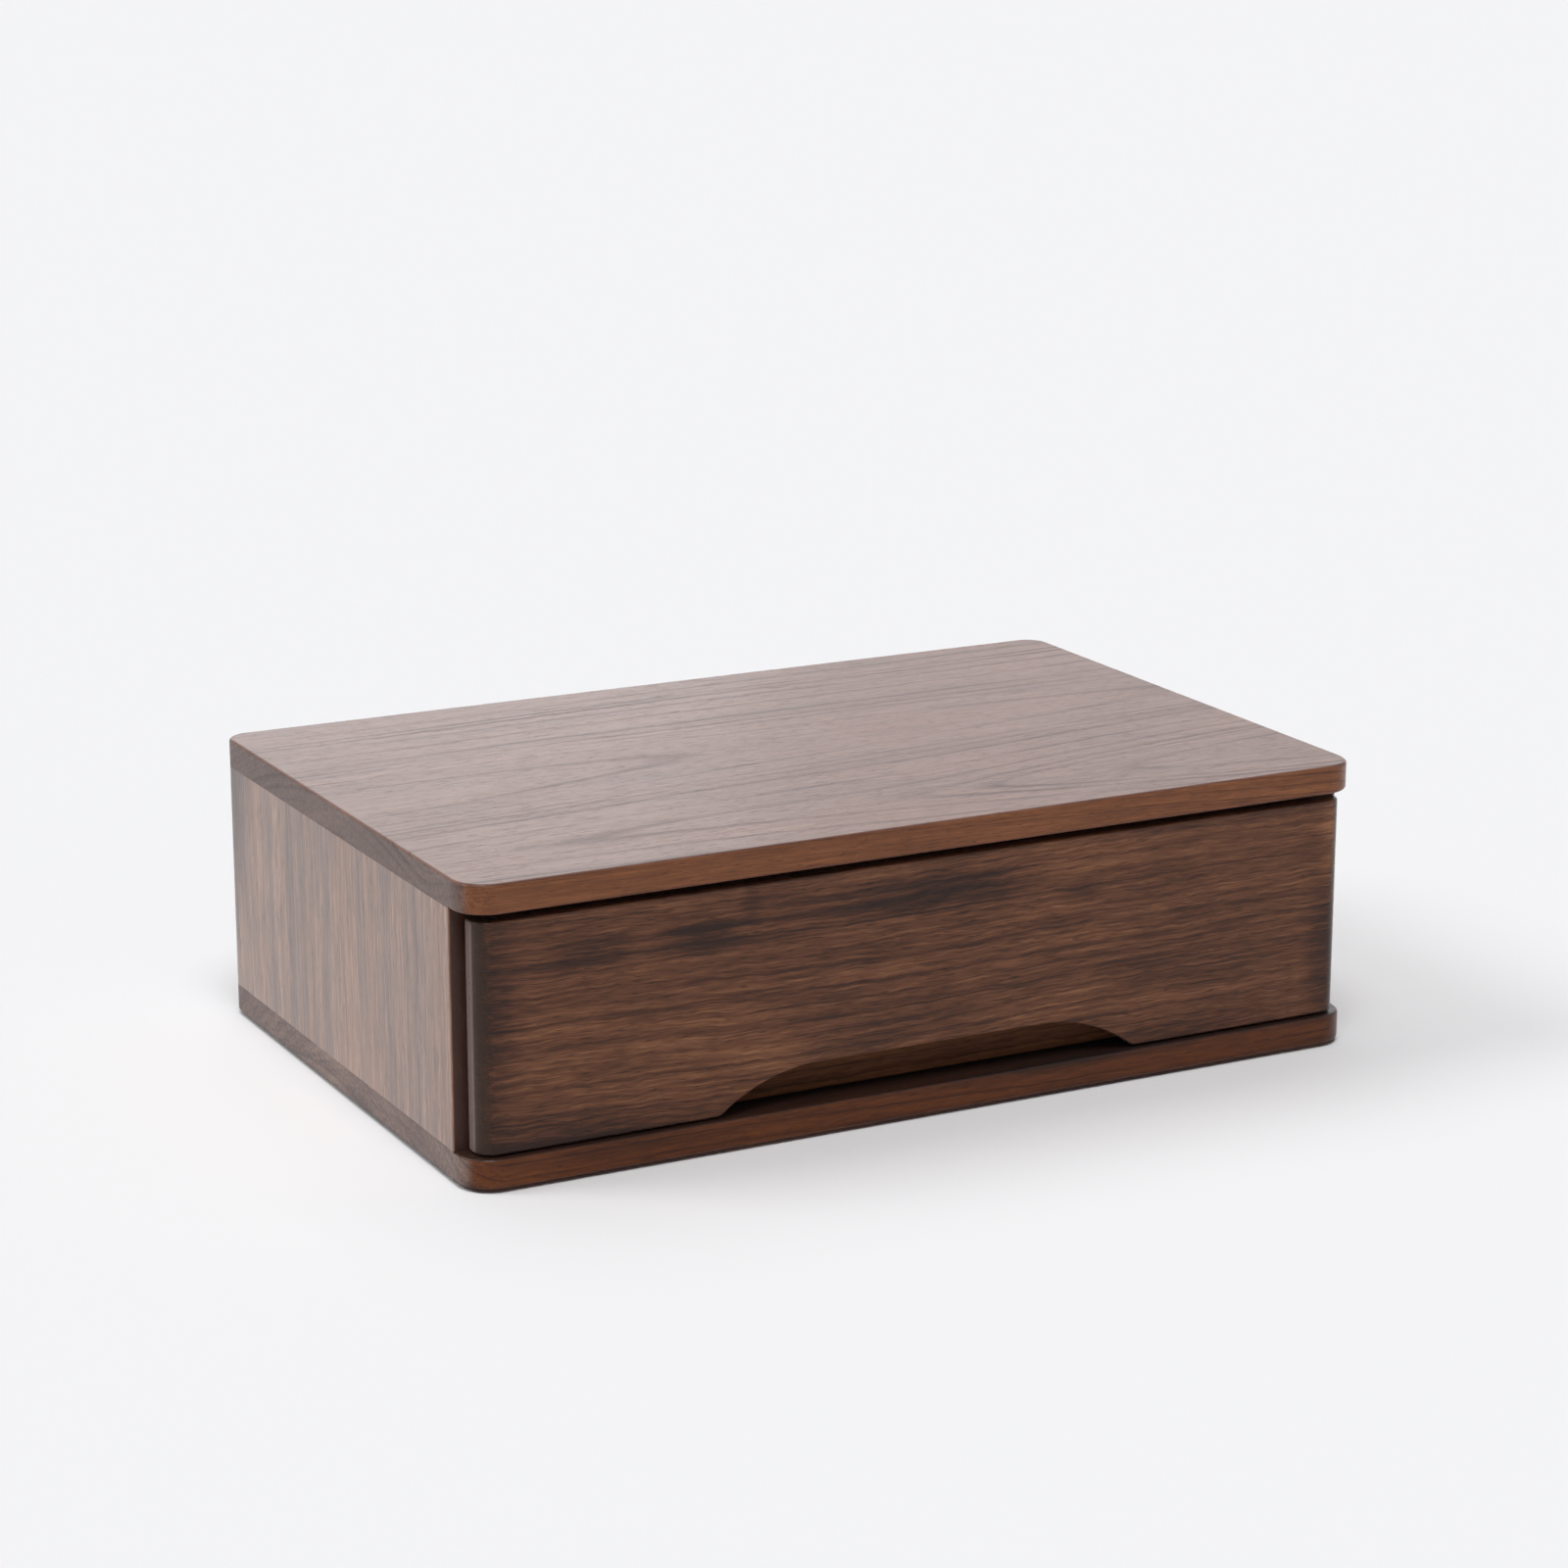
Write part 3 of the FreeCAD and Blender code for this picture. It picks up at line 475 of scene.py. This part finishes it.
def add_smoke_and_painted_light(mix, dark, flow, streaks, smoke_and_painted_light):
    """Patches on a board, mostly smoky wood and some painted shade or painted highlight: the place along and
    across, length, width, depth, and how ragged the rim is. The streaks that make the rim ragged are one half
    on average, so the rim moves out by half of that."""
    for along, across, length, width, depth, ragged in smoke_and_painted_light:
        near = mix.maths("MULTIPLY_ADD", streaks, ragged, blot(mix, flow, along, across, length, width))
        core, rim = (zone + 0.5 * ragged for zone in (SMOKE_CORE, SMOKE_RIM))
        dark = mix.maths("ADD", dark, mix.fade(near, core, rim, depth, 0.0))
    return dark


def painted_shade_under_drawer(mix, face_wood, across, depth, share):
    """Painted shade on the upper face of the bottom board, up to where the drawer ends."""
    covered = mix.maths("MULTIPLY", mix.fade(across, *COVERED_BY_DRAWER), mix.fade(depth, *UPPER_HALF))
    return mix.scaled(face_wood, mix.maths("SUBTRACT", 1.0, mix.maths("MULTIPLY", covered, share)))


def front_edge_shadowed(mix, wood_of_edge, across, depth, zone, share):
    """Deep brown on a side panel's front edge; zone is the depth where it starts and where it is full."""
    shadow = mix.maths("MULTIPLY", mix.fade(across, *FRONT_EDGE), share)
    shadow = mix.maths("MULTIPLY", mix.fade(depth, *zone), shadow)
    return mix.mix(shadow, wood_of_edge, DEEP_BROWN)


def painted_end_shade_and_highlight(mix, wood, along, painted_ends):
    """Painted shade and painted highlight at the ends: each band starts and is full at a distance from the
    middle, and has a colour and a share.
    """
    from_middle = mix.maths("ABSOLUTE", along)
    for start, full, colour, share in painted_ends:
        wood = mix.mix(mix.fade(from_middle, start, full, 0.0, share), wood, colour)
    return wood


# The stain that this prints is painted shade under the drawer.
print("the stain under the drawer ends", round(1000 * COVERED_BY_DRAWER[0]), "mm behind the middle")

# %% [markdown]
# The recipe.
# It takes one board at a time and goes from the shape of the figure to its colour, and from there to gloss
# and to the open grain that a finger feels.

# %% Walnut recipe
def walnut(name, node, turn, heart, ring, seed, tone=0.0, tint=PLAIN, lean=(0.0, 0.0), bulges=(), fold=None,
           years=(), smoke_and_painted_light=(), layers={}, roughness=0.30, bend=(0.002, 0.0004), wave=0.0, end_zone=END_ZONE,
           end_rings=0.40, painted_end_light=PLAIN, edge_tint=EDGE_TINT, shadow_zone=(), shadow=0.0, shade_under_drawer=0.0,
           painted_ends=(), varnish={}):
    """Walnut for one board. turn stands the grain as the board has it, heart is where the heart of the log
    lies across and through the board, ring the width of a growth ring, all in metres."""
    share = {**LAYERS, **layers}
    mix = Finish(name)
    board, ends, edges = board_frame(mix, node, turn, end_zone)
    flow = warped(mix, board, SLOW_BENDS, seed, (0.0, SLOW_PUSH, bend[0]))
    flow = warped(mix, flow, QUICK_BENDS, seed, (0.0, QUICK_PUSH, bend[1]))
    if wave:
        flow = warped(mix, flow, WAVES, seed + 8.0, (0.0, wave, 0.0))

    radius = ring_radius(mix, board, flow, heart, lean, bulges, fold)
    rings = late_wood(mix, radius, ring, seed)
    x, y, z = mix.parts(flow)
    beside_rings = {0: x, 1: mix.maths("MULTIPLY_ADD", y, STREAKS_ACROSS, radius), 2: z}
    along_rings = mix.node("ShaderNodeCombineXYZ", beside_rings).outputs[0]
    streaks = mix.noise(along_rings, STREAKS, seed + 1.0, 3.0)
    threads = mix.noise(flow, THREADS, seed + 6.0)
    fibres = mix.noise(flow, FIBRES, seed + 2.0)
    pores = mix.fade(mix.noise(flow, PORES, seed + 3.0, 1.0), *PORE_PEAKS)
    cloud = mix.noise(board, CLOUDS, seed + 4.0)
    broken = mix.fade(mix.noise(board, GAPS_IN_RINGS, seed + 5.0), *GAP_ZONE, LEFT_IN_GAP, 1.0)

    ring_depth = mix.fade(ends, 0.0, 1.0, share["rings"], end_rings)
    dark = mix.maths("MULTIPLY", mix.maths("MULTIPLY", rings, ring_depth), broken)
    if years:
        marks = mix.maths("MULTIPLY", marked_years(mix, radius, years), broken)
        dark = mix.maths("ADD", dark, mix.maths("MULTIPLY", marks, share["marks"]))
    dark = add_smoke_and_painted_light(mix, dark, flow, streaks, smoke_and_painted_light)
    level = mix.maths("SUBTRACT", MIDDLE_TONE + tone, dark)
    for part, layer in ((streaks, "streaks"), (threads, "threads"), (fibres, "fibres"), (cloud, "cloud")):
        level = mix.maths("ADD", level, mix.maths("MULTIPLY", mix.maths("SUBTRACT", part, 0.5), share[layer]))

    wood = mix.ramp(level, WALNUT_TONES)
    if share["hue"]:
        wood = hue_drifted(mix, wood, flow, seed + 7.0, share["hue"])
    along, across, depth = mix.parts(board)
    face_wood = mix.vectors("MULTIPLY", wood, tint)
    if shade_under_drawer:
        face_wood = painted_shade_under_drawer(mix, face_wood, across, depth, shade_under_drawer)
    # The end tint is painted light: it makes the sawn ends paler and greyer, as the light from the left does.
    long_edge, sawn_end = (mix.vectors("MULTIPLY", wood, own_tint) for own_tint in (edge_tint, painted_end_light))
    wood_of_edge = mix.mix(ends, long_edge, sawn_end)
    if shadow:
        wood_of_edge = front_edge_shadowed(mix, wood_of_edge, across, depth, shadow_zone, shadow)
    wood = mix.mix(edges, face_wood, wood_of_edge)
    if painted_ends:
        wood = painted_end_shade_and_highlight(mix, wood, along, painted_ends)
    pore_shade = mix.maths("SUBTRACT", 1.0, mix.maths("MULTIPLY", pores, share["pores"]))
    end_shade = mix.maths("SUBTRACT", 1.0, mix.maths("MULTIPLY", ends, share["ends"]))
    colour = mix.scaled(wood, mix.maths("MULTIPLY", pore_shade, end_shade))

    dull = mix.maths("MULTIPLY", mix.maths("MAXIMUM", pores, ends), PORE_DULLNESS)
    dull = mix.maths("MAXIMUM", dull, dark)
    rough = mix.maths("MULTIPLY_ADD", threads, -THREAD_GLOSS, roughness + THREAD_GLOSS / 2)
    rough = mix.maths("MULTIPLY_ADD", dull, DULL_ROUGHNESS, rough)
    height = mix.maths("SUBTRACT", mix.maths("MULTIPLY", mix.maths("ADD", fibres, threads), 0.5), pores)
    return mix.surface(colour, rough, height, GRAIN_DEPTH, **{**SATIN, **varnish})

# %% [markdown]
# The boards.
# The top is cut flat from the log, with the heart 250 mm under its middle: wide arches in the middle, closer
# lines towards the edges, and some years marked darker. The bottom board is painted darker, as painted shade,
# with a redder edge and more painted shade on its face where the drawer covers it. On both the sawn ends are
# quieter than the faces, and a tint makes them greyer: painted light from the left. The side panels stand
# with their grain upright, and a tint makes them paler and greyer: painted light, for the sheen and the light
# from the left. The drawer front comes from nearer the outside of the log, with straight lines 6 to 7 mm
# apart and smoky patches along its edges; at its ends the patches are painted shade and a painted highlight.
# The walls of the drawer box and the back panel are plain boards with no marks of their own.

# %% Figure of the top and the drawer front
# A marked year: how far it lies from the good face over the heart, its half width, and its depth
TOP_YEARS = [
    (-0.00022, 0.00012, 0.8), (0.0013, 0.00020, 0.9), (0.00275, 0.0003, 0.6), (0.0037, 0.0004, 0.8),
    (0.0052, 0.0005, 0.7), (0.0090, 0.0007, 0.7), (0.0130, 0.0009, 0.7), (0.0160, 0.0010, 1.0),
    (0.0178, 0.0008, 1.0), (0.0220, 0.0010, 0.6),
]
# A bulge: its place along and across, its length and width, and how far it lifts the rings
TOP_BULGES = [(0.230, -0.092, 0.250, 0.090, 0.008)]
FRONT_SMOKE_AND_PAINTED_LIGHT = [
    (-0.102, 0.029, 0.030, 0.013, 0.46, 0.5),
    (-0.146, 0.030, 0.034, 0.012, 0.26, 0.5),
    (0.004, 0.034, 0.078, 0.012, 0.46, 0.4),
    (-0.045, 0.036, 0.110, 0.014, 0.14, 0.4),
    (0.068, 0.024, 0.018, 0.006, 0.24, 0.5),
    (-0.080, 0.040, 0.008, 0.012, 0.20, 0.5),
    # Darker along the lower edge: partly dark wood, partly painted shade.
    (-0.155, -0.047, 0.098, 0.021, 0.50, 0.3),
    (0.112, -0.047, 0.070, 0.018, 0.30, 0.3),
    (-0.075, -0.022, 0.035, 0.012, -0.30, 0.3),
    (0.050, -0.022, 0.050, 0.011, -0.22, 0.3),
    # Painted shade on the rounded ends, and a painted highlight on the upper part of the right end.
    (-0.198, 0.000, 0.028, 0.140, 0.40, 0.1),
    (0.197, -0.020, 0.028, 0.100, 0.42, 0.1),
    (0.196, 0.030, 0.020, 0.048, -0.52, 0.1),
]
BASE_SMOKE = [
    (-0.180, -0.130, 0.050, 0.030, -0.16, 0.2),
    (0.020, -0.130, 0.050, 0.030, -0.08, 0.2),
]
LEFT_SMOKE = [(0.050, 0.125, 0.110, 0.062, 0.60, 0.2)]
# The ends of the drawer front: painted shade on the rounded corners, and a thin painted highlight on the very
# edge.
PAINTED_END_SHADE = (0.036, 0.018, 0.010, 1.0)
PAINTED_END_HIGHLIGHT = (0.215, 0.150, 0.134, 1.0)
FRONT_END_SHADE_AND_HIGHLIGHT = [(0.1880, 0.1930, PAINTED_END_SHADE, 0.80), (0.1943, 0.1947, PAINTED_END_HIGHLIGHT, 0.85)]

# The patches counted here take in the painted shade and highlight at the ends.
print("marked years:", len(TOP_YEARS), "and smoky patches on the drawer front:", len(FRONT_SMOKE_AND_PAINTED_LIGHT))

# %% Walnut boards
QUIET_ENDS = {"end_zone": SHARP_END_ZONE, "end_rings": 0.22}
FRONT_TINT = (1.12, 1.02, 0.90)
PANEL = {
    # The tint of the side panels is painted light: it makes them paler and greyer, as the sheen and the light
    # from the left do.
    "turn": UPRIGHT, "tint": (1.56, 1.70, 1.88), "edge_tint": (1.25, 0.90, 0.45), "wave": 0.006,
    "layers": {"rings": 0.16, "streaks": 0.80, "threads": 1.05, "fibres": 0.80, "cloud": 0.60, "pores": 0.60,
               "hue": 0.7},
    "shadow": 0.96, "varnish": {"Sheen Weight": 0.46, "Sheen Roughness": 0.5},
}
WALNUT_BOARDS = {
    "top_board": {
        "name": "walnut_top", "turn": ALONG_X, "heart": (0.008, -0.25), "ring": 0.0054, "seed": 13.0,
        "tone": 0.06, "tint": (1.00, 0.86, 0.92), "painted_end_light": (1.50, 2.20, 3.50), **QUIET_ENDS,
        "lean": (0.04, -0.006), "bulges": TOP_BULGES, "fold": (-0.092, 0.010), "years": TOP_YEARS,
        "bend": (0.0005, 0.0),
        "layers": {"rings": 0.05, "marks": 0.40, "streaks": 0.30, "threads": 0.46, "fibres": 0.4,
                   "cloud": 0.3},
    },
    "bottom_board": {
        "name": "walnut_base", "turn": ALONG_X, "heart": (0.02, -0.20), "ring": 0.0050, "seed": 21.0,
        # The darker tone and tints of the bottom board are painted shade, and so is the shade under the
        # drawer on its face.
        "tone": -0.20, "tint": (0.95, 0.74, 0.62), "edge_tint": (1.28, 0.88, 0.40),
        "painted_end_light": (2.3, 3.8, 5.8), **QUIET_ENDS, "layers": {"ends": 0.0}, "smoke_and_painted_light": BASE_SMOKE,
        "shade_under_drawer": 0.66, "varnish": {"Specular IOR Level": 0.22},
    },
    "side_panel_left": {
        "name": "walnut_left", "heart": (0.45, -0.12), "ring": 0.0110, "seed": 34.0, "tone": 0.07, **PANEL,
        "shadow_zone": (0.0080, 0.0050), "smoke_and_painted_light": LEFT_SMOKE,
    },
    "side_panel_right": {
        "name": "walnut_right", "heart": (-0.40, 0.15), "ring": 0.0105, "seed": 47.0, "tone": 0.06, **PANEL,
        "shadow_zone": (-0.0080, -0.0050),
    },
    "back_panel": {
        "name": "walnut_rear", "turn": FACING_FRONT, "heart": (-0.02, -0.18), "ring": 0.0060, "seed": 58.0,
        "tone": 0.02,
    },
    "drawer_front": {
        "name": "walnut_face", "turn": FACING_FRONT, "heart": (-0.35, -0.06), "ring": 0.0065, "seed": 66.0,
        "tint": FRONT_TINT, "edge_tint": FRONT_TINT, "painted_end_light": (1.9, 2.3, 2.6), "smoke_and_painted_light": FRONT_SMOKE_AND_PAINTED_LIGHT,
        "painted_ends": FRONT_END_SHADE_AND_HIGHLIGHT, "roughness": 0.17,
        "layers": {"rings": 0.28, "streaks": 0.50, "threads": 0.88, "fibres": 0.85, "ends": 0.0,
                   "pores": 0.65},
        "varnish": {"Specular IOR Level": 0.10, "Coat Weight": 0.25, "Coat Roughness": 0.10},
    },
    "drawer_box_front": {
        "name": "walnut_box_face", "turn": FACING_FRONT, "heart": (0.30, -0.10), "ring": 0.006, "seed": 79.0,
        "tone": -0.10, "tint": (1.40, 1.35, 1.10), "roughness": 0.5, "varnish": {"Specular IOR Level": 0.08},
    },
    "drawer_side_left": {
        "name": "walnut_box_left", "turn": SIDEWAYS, "heart": (0.25, -0.08), "ring": 0.006, "seed": 83.0,
    },
    "drawer_side_right": {
        "name": "walnut_box_right", "turn": SIDEWAYS, "heart": (-0.25, -0.08), "ring": 0.006, "seed": 91.0,
    },
    "drawer_back": {
        "name": "walnut_box_rear", "turn": FACING_FRONT, "heart": (0.28, -0.09), "ring": 0.006, "seed": 97.0,
    },
}
walnut_of = {node: walnut(node=node, **recipe) for node, recipe in WALNUT_BOARDS.items()}

# %% [markdown]
# Beech.
# The runners, the rail, the turning button and the dowels are beech: pale, even, and full of short brown
# flecks that lie along the grain. It is planed and left bare, so it has no gloss. The flecks are one noise,
# stretched and cut off high, so that only its peaks are left.

# %% Beech recipe
BEECH_PALE = (0.560, 0.370, 0.215, 1.0)
BEECH_RED = (0.430, 0.245, 0.130, 1.0)
BEECH_FLECK = (0.230, 0.110, 0.050, 1.0)
BEECH_BENDS = (20.0, 60.0, 60.0)
BEECH_BANDS = (5.0, 260.0, 260.0)
BEECH_FLECKS = (260.0, 1500.0, 1500.0)
BEECH_PUSH = 0.002
BAND_ZONE = (0.30, 0.70)
FLECK_PEAKS = (0.60, 0.70)
FLECK_SHARE = 0.65
BEECH_END_SHADE = 0.62
BEECH_ROUGHNESS = 0.55
FLECK_ROUGHNESS = 0.15
BEECH_DEPTH = 0.00004


def beech(name, node, turn, seed):
    mix = Finish(name)
    board, ends, _ = board_frame(mix, node, turn)
    flow = warped(mix, board, BEECH_BENDS, seed, (0.0, BEECH_PUSH, BEECH_PUSH))
    bands = mix.noise(flow, BEECH_BANDS, seed)
    fleck = mix.fade(mix.noise(flow, BEECH_FLECKS, seed + 1.0, 1.0), *FLECK_PEAKS)
    colour = mix.mix(mix.fade(bands, *BAND_ZONE), BEECH_PALE, BEECH_RED)
    colour = mix.mix(mix.maths("MULTIPLY", fleck, FLECK_SHARE), colour, BEECH_FLECK)
    colour = mix.scaled(colour, mix.fade(ends, 0.0, 1.0, 1.0, BEECH_END_SHADE))
    rough = mix.maths("MULTIPLY_ADD", fleck, FLECK_ROUGHNESS, BEECH_ROUGHNESS)
    height = mix.maths("SUBTRACT", bands, fleck)
    return mix.surface(colour, rough, height, BEECH_DEPTH, **{"Specular IOR Level": 0.3})


BEECH_NODES = {
    "runner_left": SIDEWAYS, "runner_right": SIDEWAYS, "stop_rail": ALONG_X, "stop_button": UPRIGHT,
    "top_dowels_left": UPRIGHT, "top_dowels_right": UPRIGHT,
    "bottom_dowels_left": UPRIGHT, "bottom_dowels_right": UPRIGHT,
}
beech_of = {node: beech("beech_" + node, node, turn, 7.0 * number)
            for number, (node, turn) in enumerate(BEECH_NODES.items())}

# %% [markdown]
# The drawer bottom.
# It is a thin sheet of birch plywood. Its face is one peeled sheet, so the figure is wide and faint. Its
# edges show the layers, every other one with its fibres end on, which makes them darker. The layers are
# counted by height in the sheet, and a mask on the normal keeps them to the edges.

# %% Birch plywood
LAYER_THICKNESS = 0.0013
LAYER_START = 10.25
BIRCH_PALE = (0.66, 0.50, 0.335, 1.0)
BIRCH_FIGURE = (0.57, 0.405, 0.25, 1.0)
BIRCH_FUZZ = (0.45, 0.30, 0.17, 1.0)
BIRCH_END_GRAIN = (0.30, 0.18, 0.09, 1.0)
BIRCH_SWIRLS = (4.0, 9.0, 9.0)
BIRCH_BANDS = (4.0, 60.0, 60.0)
BIRCH_FIBRES = (90.0, 1200.0, 1200.0)
SWIRL_PUSH = 0.05
FUZZ_SHARE = 0.25
FUZZ_ROUGHNESS = 0.15
BIRCH_ROUGHNESS = 0.45
BIRCH_DEPTH = 0.00003

ply = Finish("birch_sheet")
sheet_place, _, sheet_edges = board_frame(ply, "drawer_bottom", ALONG_X)
height_in_sheet = ply.parts(sheet_place)[2]
layer = ply.maths("FRACT", ply.maths("MULTIPLY_ADD", height_in_sheet, 0.5 / LAYER_THICKNESS, LAYER_START))
end_grain = ply.maths("MULTIPLY", ply.fade(layer, 0.45, 0.55), sheet_edges)
swirl = warped(ply, sheet_place, BIRCH_SWIRLS, 5.0, (0.0, SWIRL_PUSH, 0.0))
figure = ply.noise(swirl, BIRCH_BANDS, 8.0, 3.0)
fuzz = ply.noise(sheet_place, BIRCH_FIBRES, 9.0)
sheet_colour = ply.mix(ply.fade(figure, *BAND_ZONE), BIRCH_PALE, BIRCH_FIGURE)
sheet_colour = ply.mix(ply.maths("MULTIPLY", fuzz, FUZZ_SHARE), sheet_colour, BIRCH_FUZZ)
sheet_colour = ply.mix(end_grain, sheet_colour, BIRCH_END_GRAIN)
sheet_rough = ply.maths("MULTIPLY_ADD", fuzz, FUZZ_ROUGHNESS, BIRCH_ROUGHNESS)
birch = ply.surface(sheet_colour, sheet_rough, fuzz, BIRCH_DEPTH, **{"Specular IOR Level": 0.35})

# %% [markdown]
# Screws and pads.
# The screws are zinc-plated steel: a metal with a slightly uneven, rubbed gloss, which is noise in the
# roughness. The feet and the bumpers are black rubber, moulded against a matt steel tool, so their skin has
# a very fine grain that shows in the bump and not in the colour.

# %% Steel and rubber
ZINC_PALE = (0.60, 0.61, 0.63, 1.0)
ZINC_DULL = (0.42, 0.42, 0.43, 1.0)
RUB_MARKS = (900.0, 900.0, 260.0)
TARNISH_SPOTS = (220.0, 220.0, 220.0)
TARNISH_ZONE = (0.35, 0.75)
STEEL_ROUGHNESS = 0.20
RUB_ROUGHNESS = 0.25
STEEL_DEPTH = 0.00001
RUBBER_BLACK = (0.020, 0.020, 0.021, 1.0)
RUBBER_BLOOM = (0.036, 0.036, 0.037, 1.0)
SKIN_GRAIN = (2600.0, 2600.0, 2600.0)
BLOOM_CLOUDS = (160.0, 160.0, 160.0)
RUBBER_ROUGHNESS = 0.60
SKIN_ROUGHNESS = 0.2
RUBBER_DEPTH = 0.00002

plated = Finish("plated_steel")
spot = plated.node("ShaderNodeTexCoord").outputs["Object"]
polish = plated.noise(spot, RUB_MARKS, 1.0, 3.0)
tarnish = plated.fade(plated.noise(spot, TARNISH_SPOTS, 2.0), *TARNISH_ZONE)
zinc = plated.mix(tarnish, ZINC_PALE, ZINC_DULL)
steel_rough = plated.maths("MULTIPLY_ADD", polish, RUB_ROUGHNESS, STEEL_ROUGHNESS)
steel = plated.surface(zinc, steel_rough, polish, STEEL_DEPTH, Metallic=1.0)

moulded = Finish("moulded_rubber")
spot = moulded.node("ShaderNodeTexCoord").outputs["Object"]
skin = moulded.noise(spot, SKIN_GRAIN, 3.0)
bloom = moulded.noise(spot, BLOOM_CLOUDS, 4.0)
black = moulded.mix(bloom, RUBBER_BLACK, RUBBER_BLOOM)
rubber_rough = moulded.maths("MULTIPLY_ADD", skin, SKIN_ROUGHNESS, RUBBER_ROUGHNESS)
rubber = moulded.surface(black, rubber_rough, skin, RUBBER_DEPTH, **{"Specular IOR Level": 0.4})

# %% [markdown]
# Giving every piece its finish.
# The pieces come with plain materials in slots. Each takes its own finish in the same slot, so the meshes
# stay as they are. Pads and bumpers are known by their names, and what is left then is a screw.

# %% Finish the pieces
finish_of = {**walnut_of, **beech_of, "drawer_bottom": birch}
for node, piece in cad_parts.items():
    if node not in finish_of:
        finish_of[node] = rubber if "pad" in node or "bumper" in node else steel
    piece.material_slots[0].material = finish_of[node]
for finish in (steel, rubber):
    print(finish.name, "is on", sum(1 for other in finish_of.values() if other is finish), "pieces")
